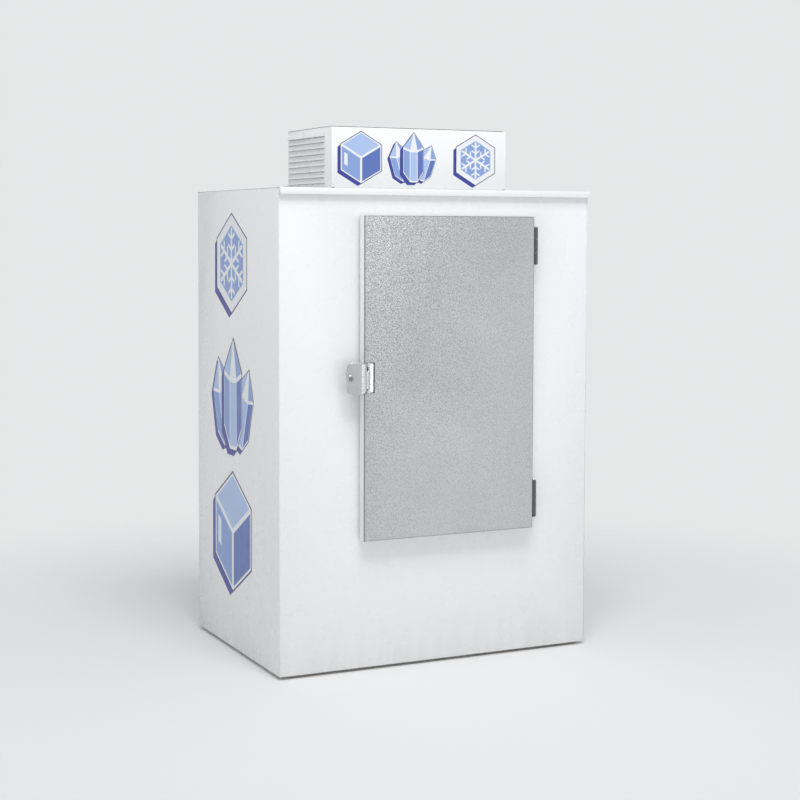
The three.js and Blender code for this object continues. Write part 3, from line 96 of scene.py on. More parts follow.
# %% One helper for every node tree
def add_node(tree, kind, links=(), **settings):
    """A new node; its inputs are named by label or by number."""
    node = tree.nodes.new(kind)
    for option, value in settings.items():
        setattr(node, option, value)
    for socket, source in dict(links).items():
        if isinstance(source, bpy.types.NodeSocket):
            tree.links.new(source, node.inputs[socket])
        else:
            node.inputs[socket].default_value = source
    return node


print("trees are written with", add_node.__name__)


# %% [markdown]
# ## Studio
#
# White enamel needs soft light: a lamp that is too bright clips it to a flat white, and the folds
# and louvres vanish. The world gives most of the light. It is stronger from the front, from low
# down and a little from the left, so the front stays bright to its foot. The camera sees it as an
# even, pale backdrop, and so do glossy and transmitted rays, so metal mirrors that backdrop too.

# %% The world
BACKDROP_TONE = (0.79, 0.795, 0.80, 1)
FILL_TONE = (0.955, 0.978, 1, 1)
# How far along each axis the fill changes, and its strength at the low end and at the high end.
FILL_FALLS = {"Z": (0.4, 0.95, 0.64), "X": (0.8, 0.86, 0.78), "Y": (0.8, 1.26, 0.9)}

scene.view_settings.view_transform = "Standard"
scene.world = bpy.data.worlds.new("studio")
scene.world.use_nodes = True
sky = scene.world.node_tree
sky.nodes.clear()
toward = add_node(sky, "ShaderNodeTexCoord").outputs["Generated"]
direction = add_node(sky, "ShaderNodeSeparateXYZ", {0: toward}).outputs
strength = 1.0
for axis, (reach, at_low, at_high) in FILL_FALLS.items():
    fall = {
        "Value": direction[axis], "From Min": -reach, "From Max": reach,
        "To Min": at_low, "To Max": at_high,
    }
    step = add_node(sky, "ShaderNodeMapRange", fall, interpolation_type="SMOOTHSTEP").outputs[0]
    both = {0: step, 1: strength}
    strength = add_node(sky, "ShaderNodeMath", both, operation="MULTIPLY").outputs[0]
fill = add_node(sky, "ShaderNodeBackground", {"Color": FILL_TONE, "Strength": strength}).outputs[0]
seen = add_node(sky, "ShaderNodeBackground", {"Color": BACKDROP_TONE}).outputs[0]
rays = add_node(sky, "ShaderNodeLightPath").outputs
shown = rays["Is Camera Ray"]
for ray in ("Is Glossy Ray", "Is Transmission Ray"):
    either = {0: shown, 1: rays[ray]}
    shown = add_node(sky, "ShaderNodeMath", either, operation="MAXIMUM").outputs[0]
chosen = add_node(sky, "ShaderNodeMixShader", {0: shown, 1: fill, 2: seen}).outputs[0]
add_node(sky, "ShaderNodeOutputWorld", {"Surface": chosen})
print("the fill falls along", list(FILL_FALLS))


# %% [markdown]
# Three rectangular lamps do the rest. The key and the top lamp hang high in front, a little to the
# left, far enough away to light the top and the foot of the cabinet alike. They come down steeply,
# so the roof's lip throws a soft grey band on the front. The small faint one is mirrored by the
# flat base of the latch and by the crest of its paddle, as an upright gleam.

# %% The lamps
def lamp(name, place, target, width, height, power):
    """A rectangular lamp aimed at the target, in metres and watts."""
    light = bpy.data.objects.new(name, bpy.data.lights.new(name, "AREA"))
    light.data.shape = "RECTANGLE"
    light.data.size, light.data.size_y = width, height
    light.data.energy = power
    light.location = place
    light.rotation_euler = (Vector(target) - Vector(place)).to_track_quat("-Z", "Y").to_euler()
    scene.collection.objects.link(light)
    return light


key = lamp("key_lamp", (-1.3, -4.8, 8.2), (-0.1, -0.4, 1.0), 5.0, 2.2, 280)
top = lamp("top_lamp", (-0.7, -2.55, 7.3), (-0.1, -0.45, 1.2), 2.2, 0.7, 70)
gleam = lamp("gleam_lamp", (1.02, -3.4, 0.8), (-0.33, -0.5, 1.08), 0.2, 0.55, 0.8)
print("lamps:", key.name, top.name, gleam.name)


# %% [markdown]
# ## Materials
#
# Each finish is a small node tree on the Principled shader. Object coordinates drive the patterns,
# so they keep their real size: a noise of scale 400 has features about 2.5 mm wide. Values that are
# the same all over a surface are set on the shader itself.

# %% A finish in the making
class Finish:
    """A Principled shader with short ways to vary its colour, gloss and relief."""

    def __init__(self, name, color, roughness, metallic=0.0):
        self.material = bpy.data.materials.new(name)
        self.material.use_nodes = True
        self.tree = self.material.node_tree
        self.shader = self.tree.nodes["Principled BSDF"]
        self.shader.inputs["Base Color"].default_value = (*color, 1)
        self.shader.inputs["Roughness"].default_value = roughness
        self.shader.inputs["Metallic"].default_value = metallic
        self.place = self.add("ShaderNodeTexCoord").outputs["Object"]
        self.colour = (*color, 1)

    def add(self, kind, links=(), **settings):
        return add_node(self.tree, kind, links, **settings)

    def noise(self, scale, detail=3, stretch=(1, 1, 1)):
        """A soft noise, drawn out along each axis whose stretch is below 1."""
        place = self.add("ShaderNodeMapping", {"Vector": self.place, "Scale": stretch}).outputs[0]
        wanted = {"Vector": place, "Scale": scale, "Detail": detail}
        return self.add("ShaderNodeTexNoise", wanted).outputs["Fac"]

    def ramp(self, value, low, high, to_low=0.0, to_high=1.0):
        """The value, carried from one range to another and kept inside it."""
        wanted = {
            "Value": value, "From Min": low, "From Max": high, "To Min": to_low, "To Max": to_high,
        }
        return self.add("ShaderNodeMapRange", wanted).outputs["Result"]

    def math(self, operation, a, b):
        return self.add("ShaderNodeMath", {0: a, 1: b}, operation=operation).outputs[0]

    def tint(self, amount, color):
        """Lays another colour over the colour so far, by an amount that varies."""
        wanted = {"Factor": amount, 6: self.colour, 7: (*color, 1)}
        self.colour = self.add("ShaderNodeMix", wanted, data_type="RGBA").outputs[2]
        self.tree.links.new(self.colour, self.shader.inputs["Base Color"])

    def rough(self, value):
        self.tree.links.new(value, self.shader.inputs["Roughness"])

    def bump(self, height, distance, strength=1.0):
        """Relief: the distance is the rise, in metres, where the height goes from 0 to 1."""
        wanted = {"Height": height, "Distance": distance, "Strength": strength}
        relief = self.add("ShaderNodeBump", wanted).outputs[0]
        self.tree.links.new(relief, self.shader.inputs["Normal"])


print("finishes are written with", Finish.__name__)


# %% [markdown]
# White enamel on sheet steel has a faint orange peel and a soft unevenness of gloss. A cabinet that
# stands outdoors gathers dust along its foot, a little grime that the rain draws down in streaks,
# and faint scuffs where bags and boots knock it. On the louvred panels an ambient occlusion node
# darkens each crease and recess, a painted shade.

# %% White enamel
WHITE, LINER_WHITE = (0.85, 0.855, 0.86), (0.78, 0.8, 0.815)
FOOT_DUST, RAIN_GRIME, CREASE_PAINTED_SHADE = (0.42, 0.4, 0.36), (0.66, 0.65, 0.62), (0.22, 0.22, 0.22)
SPLASH_TOP, SPLASH_FOOT = 0.3, 0.012
CREASE, ORANGE_PEEL = 9 * MM, 0.12 * MM


def white_enamel(name, color, grime, crease_shade=0.0):
    finish = Finish(name, color, 0.26)
    scuffs = finish.ramp(finish.noise(26, 5, (1, 1, 3)), 0.66, 0.8, 0, 0.16)
    gloss = finish.ramp(finish.noise(9), 0.3, 0.7, 0.22, 0.36)
    finish.rough(finish.math("ADD", gloss, scuffs))
    finish.bump(finish.noise(420, 2), ORANGE_PEEL, 0.25)
    height = finish.add("ShaderNodeSeparateXYZ", {0: finish.place}).outputs["Z"]
    splash = finish.math("POWER", finish.ramp(height, SPLASH_TOP, SPLASH_FOOT), 2.4)
    streaks = finish.ramp(finish.noise(7, 4, (3, 3, 0.35)), 0.3, 0.75)
    dust = finish.math("MULTIPLY", finish.math("MULTIPLY", splash, streaks), grime)
    clouds = finish.ramp(finish.noise(1.6, 4), 0.4, 0.75, 0, 0.5)
    finish.tint(clouds, tuple(c * 0.98 for c in color))
    runs = finish.ramp(finish.noise(9, 5, (6, 6, 0.4)), 0.6, 0.8, 0, 0.14 * grime)
    finish.tint(runs, RAIN_GRIME)
    finish.tint(dust, FOOT_DUST)
    if crease_shade:
        # Painted shade: ambient occlusion darkens each crease and recess of the louvred panels.
        nooks = finish.add("ShaderNodeAmbientOcclusion", {"Distance": CREASE}, only_local=True)
        finish.tint(finish.ramp(nooks.outputs["AO"], 0.85, 0.3, 0.0, crease_shade), CREASE_PAINTED_SHADE)
    return finish.material


enamel = white_enamel("white_enamel", WHITE, 0.22)
vented_enamel = white_enamel("vented_enamel", WHITE, 0.22, crease_shade=0.8)
liner_enamel = white_enamel("liner_enamel", LINER_WHITE, 0.15)
print("enamels:", enamel.name, vented_enamel.name, liner_enamel.name)


# %% [markdown]
# The door's face is bright steel rolled with a stucco pattern: rounded pebbles that break every
# reflection into a grain. Voronoi cells about 5 mm wide give the pebbles, a slow noise keeps them
# from lying in rows, and a finer noise roughens them. Each pebble is painted darker toward its
# edge, a painted shade in the hollows between pebbles. That shade and a cloudy tone both grow
# stronger toward the upper left, a painted shade of the darker reflection there. A dark line of
# painted shade runs along the rim, where the skin meets the trim.

# %% Embossed steel
STEEL, STEEL_CLOUD = (0.725, 0.735, 0.743), (0.56, 0.572, 0.585)
PEBBLE_GAP_SHADE, RIM_PAINTED_SHADE = (0.38, 0.39, 0.40), (0.2, 0.2, 0.205)
PEBBLES_PER_METRE = 205.0
PEBBLE_DRIFT, PEBBLE_DEPTH = 7 * MM, 1.2 * MM
RIM_DARK, RIM_CLEAR = 1.5 * MM, 4 * MM


def rim_distance(finish, value, axis):
    """How far a point lies inside the door's skin, along one axis."""
    reach = [corner[axis] for corner in frame["nodes"]["door_outer_skin"].bound_box]
    inward = finish.math("SUBTRACT", value, min(reach))
    return finish.math("MINIMUM", inward, finish.math("SUBTRACT", max(reach), value))


def embossed_steel():
    finish = Finish("embossed_steel", STEEL, 0.34, 1.0)
    slow = {"Vector": finish.place, "Scale": 110.0, "Detail": 1.0}
    drift = {0: finish.add("ShaderNodeTexNoise", slow).outputs["Color"], "Scale": PEBBLE_DRIFT}
    aside = finish.add("ShaderNodeVectorMath", drift, operation="SCALE").outputs[0]
    place = finish.add("ShaderNodeVectorMath", {0: finish.place, 1: aside}).outputs[0]
    packed = {"Vector": place, "Scale": PEBBLES_PER_METRE}
    off_centre = finish.add("ShaderNodeTexVoronoi", packed, feature="F1").outputs["Distance"]
    fine = finish.math("MULTIPLY", finish.noise(420, 2), 0.25)
    pebble = finish.math("ADD", finish.math("SUBTRACT", 1.0, off_centre), fine)
    finish.bump(pebble, PEBBLE_DEPTH)
    where = finish.add("ShaderNodeSeparateXYZ", {0: finish.place}).outputs
    rims = [rim_distance(finish, where["X"], 0), rim_distance(finish, where["Z"], 2)]
    # Painted shade: the cloudy tone and the pebble gaps grow darker toward the upper left.
    slant = finish.math("SUBTRACT", where["X"], finish.math("MULTIPLY", where["Z"], 0.6))
    upper_left_shade = finish.math("ADD", slant, finish.ramp(finish.noise(2.5, 3), 0.3, 0.7, -0.12, 0.12))
    depth = finish.ramp(upper_left_shade, -1.0, -0.35, 0.85, 0.4)
    finish.rough(finish.ramp(finish.noise(5), 0.3, 0.7, 0.4, 0.49))
    cloud = finish.ramp(finish.noise(3, 5), 0.35, 0.75)
    finish.tint(finish.math("MULTIPLY", cloud, depth), STEEL_CLOUD)
    # Painted shade: each pebble darkens toward its edge, in the hollows between pebbles.
    gap_shade = finish.ramp(off_centre, 0.25, 0.75)
    finish.tint(finish.math("MULTIPLY", gap_shade, depth), PEBBLE_GAP_SHADE)
    # Painted shade: a dark line along the skin's rim, where it meets the trim.
    rim = finish.ramp(finish.math("MINIMUM", *rims), RIM_DARK, RIM_CLEAR, 0.6, 0.0)
    finish.tint(rim, RIM_PAINTED_SHADE)
    return finish.material


stucco = embossed_steel()
print("made", stucco.name)


# %% [markdown]
# Chrome, copper and aluminium share one recipe. Their colours and gloss differ, a smear of fingers
# and dust varies the gloss, and a fine grain stands for the marks of polishing or drawing.

# %% Bright metals
def bright_metal(name, color, roughness, grain=0.0):
    finish = Finish(name, color, roughness, 1.0)
    finish.rough(finish.ramp(finish.noise(60, 4), 0.3, 0.7, roughness * 0.7, roughness * 1.5))
    finish.tint(finish.ramp(finish.noise(25, 5), 0.5, 0.8, 0.0, 0.4), tuple(c * 0.7 for c in color))
    if grain:
        finish.bump(finish.noise(grain, 2), 0.00008, 0.35)
    return finish.material


chrome = bright_metal("chrome", (0.8, 0.81, 0.82), 0.13)
satin_chrome = bright_metal("satin_chrome", (0.6, 0.607, 0.615), 0.2, 300)
dark_chrome = bright_metal("dark_chrome", (0.15, 0.155, 0.165), 0.2, 300)
worn_nickel = bright_metal("worn_nickel", (0.3, 0.295, 0.29), 0.4, 320)
spring_steel = bright_metal("spring_steel", (0.5, 0.5, 0.5), 0.3)
copper = bright_metal("copper", (0.72, 0.38, 0.22), 0.28, 200)
aluminium = bright_metal("aluminium", (0.7, 0.71, 0.72), 0.35, 260)
metals = (chrome, satin_chrome, dark_chrome, worn_nickel, spring_steel, copper, aluminium)
print("metals:", [metal.name for metal in metals])


# %% [markdown]
# Galvanized sheet shows spangle: flat crystals of zinc, each with its own tone. The tone is a
# random value per Voronoi cell.

# %% Galvanized steel
def galvanized_steel():
    finish = Finish("galvanized_steel", (0.56, 0.58, 0.6), 0.42, 1.0)
    flakes = finish.add("ShaderNodeTexVoronoi", {"Vector": finish.place, "Scale": 70.0})
    tone = finish.add("ShaderNodeSeparateColor", {0: flakes.outputs["Color"]}).outputs[0]
    finish.tint(finish.ramp(tone, 0, 1, 0.0, 0.6), (0.36, 0.38, 0.4))
    finish.rough(finish.ramp(tone, 0, 1, 0.34, 0.52))
    return finish.material


galvanized = galvanized_steel()
print("made", galvanized.name)


# %% [markdown]
# Plastics, rubber, foam and the black enamel of motors and compressor differ in colour, gloss and
# the size of their grain.

# %% Plastics, rubber, foam and black enamel
def moulded(name, color, roughness, grain, depth):
    finish = Finish(name, color, roughness)
    finish.bump(finish.noise(grain, 3), depth, 0.5)
    finish.rough(finish.ramp(finish.noise(30), 0.3, 0.7, roughness * 0.85, roughness * 1.2))
    finish.tint(finish.ramp(finish.noise(8, 5), 0.45, 0.8, 0.0, 0.3), tuple(c * 0.8 for c in color))
    return finish.material


FINISHES = {
    "white_enamel": enamel,
    "white_liner": liner_enamel,
    "white_plastic": moulded("white_plastic", (0.87, 0.87, 0.865), 0.38, 500, 0.0001),
    "rack_plastic": moulded("rack_plastic", (0.62, 0.64, 0.66), 0.55, 350, 0.0002),
    "embossed_steel": stucco,
    "chrome": chrome,
    "dark_chrome": dark_chrome,
    "spring_steel": spring_steel,
    "galvanized_steel": galvanized,
    "aluminium_sheet": aluminium,
    "copper": copper,
    "black_enamel": moulded("black_enamel", (0.018, 0.018, 0.02), 0.32, 260, 0.0002),
    "black_plastic": moulded("black_plastic", (0.02, 0.02, 0.022), 0.45, 500, 0.0001),
    "black_rubber": moulded("black_rubber", (0.03, 0.03, 0.032), 0.75, 450, 0.0002),
    "gasket_rubber": moulded("gasket_rubber", (0.62, 0.63, 0.64), 0.62, 600, 0.0001),
    "rigid_foam": moulded("rigid_foam", (0.74, 0.64, 0.4), 0.9, 240, 0.0008),
}
print(len(FINISHES), "finishes")


# %% [markdown]
# ## Sheet metal
#
# The CAD nodes arrive as loose triangles with flat shading. Each visible one is copied, its
# triangles are merged back into whole faces, and a small bevel catches the light along its edges.
# The copy replaces the node and rides on the same body.

# %% Copies of the CAD nodes
SLOT_OF = {row["node"]: row["material_slot"] for row in frame["record"]["subparts"]}
BODIES = frame["record"]["behaviour"]["bodies"]
BODY_OF = {node: body for body, nodes in BODIES.items() for node in nodes}
WELD = 0.01 * MM
FLAT, ROUND, FOLD = math.radians(1), math.radians(35), math.radians(50)


def merged_copy(node, name):
    """A copy of the node, with its loose triangles joined into whole faces."""
    mesh = frame["nodes"][node].data.copy()
    shape = bmesh.new()
    shape.from_mesh(mesh)
    bmesh.ops.remove_doubles(shape, verts=shape.verts, dist=WELD)
    bmesh.ops.dissolve_limit(shape, angle_limit=FLAT, verts=shape.verts, edges=shape.edges)
    shape.to_mesh(mesh)
    shape.free()
    piece = bpy.data.objects.new(name, mesh)
    scene.collection.objects.link(piece)
    return piece


def bake_modifiers(piece):
    """Turns the piece and its modifiers into a plain mesh, smooth but for its sharp edges."""
    evaluated = piece.evaluated_get(bpy.context.evaluated_depsgraph_get())
    mesh = bpy.data.meshes.new_from_object(evaluated)
    piece.modifiers.clear()
    piece.data = mesh
    mesh.shade_smooth()
    mesh.set_sharp_from_angle(angle=ROUND)


def dress(piece, node, material=None):
    """Gives the piece the node's finish and body, and hides the node."""
    slot = SLOT_OF[node]
    piece.data.materials.clear()
    piece.data.materials.append(material or FINISHES[slot])
    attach(piece, BODY_OF[node])
    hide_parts(node)


# %% [markdown]
# A folded sheet has no sharp corner: its edge is a tight roll, and that roll is what catches the
# light. A Bevel modifier with two segments gives it, wherever two faces meet at more than 50
# degrees. The bevels are in millimetres. Moulded racks and rubber are rounder than steel.

# %% Sheets with soft edges
def soft_edged(node, bevel, reshape=None, material=None):
    """A copy of the node with its edges rolled, and reshaped first where the caller asks."""
    piece = merged_copy(node, node + "_sheet")
    if reshape:
        reshape(piece.data)
    edge = piece.modifiers.new("edge", "BEVEL")
    edge.width = bevel
    edge.segments = 2
    edge.limit_method = "ANGLE"
    edge.angle_limit = FOLD
    bake_modifiers(piece)
    dress(piece, node, material)
    return piece


EDGES = {
    "base_frame": 0.2, "left_side_panel": 0.2, "right_side_panel": 0.2, "back_panel": 0.2,
    "front_panel": 0.2, "door_jamb": 0.6, "floor_rack_left": 1.2, "floor_rack_right": 1.2,
    "door_edge_trim": 0.5, "door_inner_pan": 0.3, "sign_panel": 0.2,
    "left_louver_panel": 0.2, "right_louver_panel": 0.2, "rear_grille": 0.15, "top_cover": 0.2,
    "unit_tray": 0.2, "unit_gasket": 0.8, "evaporator_casing": 0.2, "evaporator_coil": 0.1,
    "condenser_shroud": 0.2, "condenser_coil": 0.1, "control_box": 0.25, "strike_plate": 0.3,
    "liner_left_wall": 0.2, "liner_right_wall": 0.2, "liner_back_wall": 0.2,
    "door_outer_skin": 0.15, "liner_front_wall": 0.2, "liner_ceiling": 0.2, "liner_floor": 0.2,
}
VENTED = ("left_louver_panel", "right_louver_panel", "rear_grille")
for node, bevel in EDGES.items():
    soft_edged(node, bevel * MM, material=vented_enamel if node in VENTED else None)
print(len(EDGES), "sheets with soft edges")


# %% [markdown]
# The roof's front edge is rolled into a drip lip. The real one is fuller than the plain fold of the
# drawing, so its corners are moved a few millimetres out and down before its edges are softened. A
# fuller lip catches the light and throws a soft grey band on the front below it.

# %% The drip lip
LIP_Y, NOSE_Y, HEM_Z = -0.44, -0.446, 1.7585
NOSE_OUT, HEM_DOWN = 8 * MM, 8 * MM


def fuller_lip(mesh):
    """Moves the lip's hem down and its nose out."""
    for vertex in mesh.vertices:
        y, z = vertex.co.y, vertex.co.z
        if y < LIP_Y and z < HEM_Z:
            vertex.co.z -= HEM_DOWN
        if y < NOSE_Y:
            vertex.co.y -= NOSE_OUT


roof = soft_edged("roof_panel", 0.25 * MM, reshape=fuller_lip)
hem = min(vertex.co.z for vertex in roof.data.vertices if vertex.co.y < NOSE_Y)
print("the lip hangs to", round(hem, 4), "m")


# %% [markdown]
# ## Castings and turned pieces
#
# The latch and hinges are die castings: no edge on them is sharp. A voxel remesh of the CAD solid
# followed by a smoothing pass melts the facets and rounds each edge by about one voxel, which is
# what polishing does to a casting. Motors, the compressor and the bent tubes are treated alike. The
# pins are bright chrome. The paddle is polished longest but has a satin finish, and the lock's face
# is duller than both.

# %% Smooth castings
def casting(node, voxel, passes=6, material=None):
    """A copy of the node, remeshed at the voxel's size and smoothed."""
    piece = merged_copy(node, node + "_cast")
    remesh = piece.modifiers.new("cast", "REMESH")
    remesh.mode = "VOXEL"
    remesh.voxel_size = voxel
    polish = piece.modifiers.new("polish", "SMOOTH")
    polish.factor = 0.5
    polish.iterations = passes
    bake_modifiers(piece)
    piece.data.set_sharp_from_angle(angle=math.pi)
    dress(piece, node, material)
    return piece


VOXELS = {
    "latch_base": 0.6, "latch_pin": 0.4, "strike_roller": 0.4,
    "hinge_frame_leaf_top": 0.7, "hinge_door_leaf_top": 0.7, "hinge_pin_top": 0.5,
    "hinge_frame_leaf_bottom": 0.7, "hinge_door_leaf_bottom": 0.7, "hinge_pin_bottom": 0.5,
    "compressor": 2.0, "condenser_fan_motor": 1.5, "evaporator_fan_motor": 1.2,
    "condenser_fan": 0.8, "evaporator_fan": 0.7, "evaporator_fan_guard": 0.7,
    "discharge_line": 1.0, "liquid_line": 0.9, "suction_line": 1.4, "condensate_tube": 2.0,
    "power_gland": 0.8, "floor_drain": 0.8,
}
for node, voxel in VOXELS.items():
    casting(node, voxel * MM, material=chrome if "pin" in node else None)
casting("latch_handle", 0.7 * MM, passes=16, material=satin_chrome)
casting("lock_cylinder", 0.3 * MM, material=worn_nickel)
print(len(VOXELS) + 2, "castings and tubes")


# %% [markdown]
# The foam and the bottom panel are hidden. They keep their CAD shape and only take a finish.

# %% Hidden pieces
HIDDEN = ("foam_core", "door_foam", "roof_plug", "bottom_panel")
for node in HIDDEN:
    thing = frame["nodes"][node]
    thing.data.materials.clear()
    thing.data.materials.append(FINISHES[SLOT_OF[node]])
print(len(HIDDEN), "pieces keep their CAD shape")


# %% [markdown]
# ## Door gasket
#
# The gasket is one profile swept round the door and mitred at the corners: a foot against the door,
# a bellows neck, and the bar with the magnet. Each point of the profile is an inset from the door's
# edge and a depth.

# %% Door gasket
def piece_from(name, shape):
    """A new object from a bmesh, smooth but for its sharp edges."""
    mesh = bpy.data.meshes.new(name)
    shape.to_mesh(mesh)
    shape.free()
    mesh.shade_smooth()
    mesh.set_sharp_from_angle(angle=ROUND)
    piece = bpy.data.objects.new(name, mesh)
    scene.collection.objects.link(piece)
    return piece


def swept_frame(name, left, right, bottom, top, profile):
    """A closed profile of (inset, y) carried round an upright rectangle."""
    shape = bmesh.new()
    rings = []
    for inset, y in profile:
        x0, x1, z0, z1 = left + inset, right - inset, bottom + inset, top - inset
        ring = [(x0, y, z0), (x1, y, z0), (x1, y, z1), (x0, y, z1)]
        rings.append([shape.verts.new(Vector(p) * MM) for p in ring])
    for here, after in zip(rings, rings[1:] + rings[:1]):
        for i in range(4):
            shape.faces.new((here[i], here[(i + 1) % 4], after[(i + 1) % 4], after[i]))
    bmesh.ops.recalc_face_normals(shape, faces=shape.faces)
    return piece_from(name, shape)


SEAL_MIDDLE = 11
HALF_SEAL = [
    (4.0, -448.7), (4.0, -447.4), (7.2, -446.9), (6.8, -446.1), (4.7, -445.5), (4.7, -444.8),
    (5.6, -444.3), (4.2, -443.7), (4.0, -443.1), (4.0, -442.0), (4.3, -441.5), (5.0, -441.3),
]
mirrored = [(2 * SEAL_MIDDLE - inset, y) for inset, y in reversed(HALF_SEAL)]
DOOR_EDGES = {"left": -330, "right": 374, "bottom": 489, "top": 1673}
seal = swept_frame("door_gasket_bellows", profile=HALF_SEAL + mirrored, **DOOR_EDGES)
dress(seal, "door_gasket")
print("gasket of", len(seal.data.polygons), "faces")


# %% [markdown]
# ## Small parts of the latch
#
# A thin black rubber pad lies under the latch's base. It stands for the shadow beside the base and
# shows as a dark line of painted shade. The key slot holds a black plate, a painted shade, because
# no light reaches its bottom. Both are boxes with rounded edges.

# %% Rubber pad and key slot
def rounded_box(name, low, high, radius, body, slot):
    """A box from one corner to the other, in millimetres, with its edges rounded."""
    shape = bmesh.new()
    bmesh.ops.create_cube(shape, size=1)
    for corner in shape.verts:
        corner.co = Vector([(high if c > 0 else low)[i] for i, c in enumerate(corner.co)]) * MM
    rounding = {"offset": radius * MM, "segments": 3, "profile": 0.5, "affect": "EDGES"}
    bmesh.ops.bevel(shape, geom=shape.edges[:], **rounding)
    bmesh.ops.recalc_face_normals(shape, faces=shape.faces)
    piece = piece_from(name, shape)
    piece.data.materials.append(FINISHES[slot])
    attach(piece, body)
    return piece


# Painted shade: the black pad gives the shadow line beside the latch base, and the black plate
# darkens the key slot.
SMALL_PARTS = (
    ("latch_shade_pad", (-331, -496.4, 1031), (-291.2, -494.05, 1141), 0.8, "door", "black_rubber"),
    ("key_slot_shade", (-390.8, -510.9, 1083), (-389.2, -507, 1089), 0.3, "lock", "black_plastic"),
)
made = [rounded_box(*part).name for part in SMALL_PARTS]
print("made", made)


# %% [markdown]
# ## Patterns
#
# Screws, rivets, fins and spring turns repeat, so Geometry Nodes makes them. Each tree has named
# inputs. It ends by turning its instances into real geometry and setting their finish. A row of
# values runs the tree once; all rows of one piece are joined into one plain mesh.

# %% A pattern in the making
class Pattern:
    """A Geometry Nodes tree with named inputs and one geometry output."""

    def __init__(self, name, inputs):
        self.tree = bpy.data.node_groups.new(name, "GeometryNodeTree")
        sockets = [("Geometry", "INPUT", "Geometry"), ("Geometry", "OUTPUT", "Geometry")]
        sockets += [(label, "INPUT", kind) for label, kind in inputs.items()]
        for label, way, kind in [*sockets, ("Finish", "INPUT", "Material")]:
            socket_type = "NodeSocket" + kind
            self.tree.interface.new_socket(label, in_out=way, socket_type=socket_type)
        self.given = self.tree.nodes.new("NodeGroupInput").outputs

    def add(self, kind, links=(), **settings):
        return add_node(self.tree, kind, links, **settings)

    def row(self):
        """Count points, each a Step from the one before."""
        count, first, step = (self.given[label] for label in ("Count", "First", "Step"))
        wanted = {"Count": count, "Start Location": first, "Offset": step}
        return self.add("GeometryNodeMeshLine", wanted, mode="OFFSET").outputs[0]

    def close(self, shape):
        """Makes the instances real, gives them their finish and ends the tree."""
        real = self.add("GeometryNodeRealizeInstances", {0: shape}).outputs[0]
        dressed = {"Geometry": real, "Material": self.given["Finish"]}
        self.add("NodeGroupOutput", {0: self.add("GeometryNodeSetMaterial", dressed).outputs[0]})
        return self

    def made(self, values):
        """The mesh that one row of values gives."""
        host = bpy.data.objects.new("pattern_host", bpy.data.meshes.new("pattern_host"))
        scene.collection.objects.link(host)
        modifier = host.modifiers.new("pattern", "NODES")
        modifier.node_group = self.tree
        for item in self.tree.interface.items_tree:
            if item.in_out == "INPUT" and item.name in values:
                modifier[item.identifier] = values[item.name]
        evaluated = host.evaluated_get(bpy.context.evaluated_depsgraph_get())
        mesh = bpy.data.meshes.new_from_object(evaluated)
        bpy.data.objects.remove(host)
        return mesh


print("patterns are written with", Pattern.__name__)


# %% [markdown]
# One piece may need several rows, such as the rivets down both sides of the back. Each row is baked
# to a plain mesh, the meshes are joined, and the result rides on its body like any other piece.

# %% From rows to one piece
def grow(pattern, name, body, slot, rows):
    """Joins the pattern's rows into one piece that rides on the body."""
    finish = FINISHES[slot]
    shape = bmesh.new()
    for values in rows:
        shape.from_mesh(pattern.made({**values, "Finish": finish}))
    bmesh.ops.recalc_face_normals(shape, faces=shape.faces)
    piece = piece_from(name, shape)
    piece.data.materials.append(finish)
    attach(piece, body)
    print(name, len(piece.data.polygons), "faces")
    return piece


print("rows are joined with", grow.__name__)


# %% [markdown]
# A screw head is a short cone with a cross cut into it. Each one is turned by its own random angle,
# from a fixed seed, because no fitter leaves the crosses in line. A rivet is half a flattened ball.

# %% Screws and rivets
LINE_OF_POINTS = {"Count": "Int", "First": "Vector", "Step": "Vector"}
FASTENER = {**LINE_OF_POINTS, "Facing": "Vector", "Radius": "Float"}
SEED = 7


def place_heads(pattern, head):
    """An instance of the head on each point of the row, facing outward and turned at random."""
    aim = {"Vector": pattern.given["Facing"]}
    facing = pattern.add("FunctionNodeAlignRotationToVector", aim, axis="Z").outputs[0]
    any_angle = {2: 0.0, 3: math.tau, "Seed": SEED}
    angle = pattern.add("FunctionNodeRandomValue", any_angle, data_type="FLOAT").outputs[1]
    about = {"Axis": (0, 0, 1), "Angle": angle}
    spin = pattern.add("FunctionNodeAxisAngleToRotation", about).outputs[0]
    both = {"Rotation": facing, "Rotate By": spin}
    turn = pattern.add("FunctionNodeRotateRotation", both, rotation_space="LOCAL").outputs[0]
    wanted = {"Points": pattern.row(), "Instance": head, "Rotation": turn}
    return pattern.add("GeometryNodeInstanceOnPoints", wanted).outputs[0]


# Sizes of a screw head, as shares of its radius.
HEAD_TOP, HEAD_HEIGHT = 0.66, 0.55
CROSS_LENGTH, CROSS_WIDTH, CROSS_DEPTH = 0.95, 0.24, 0.5


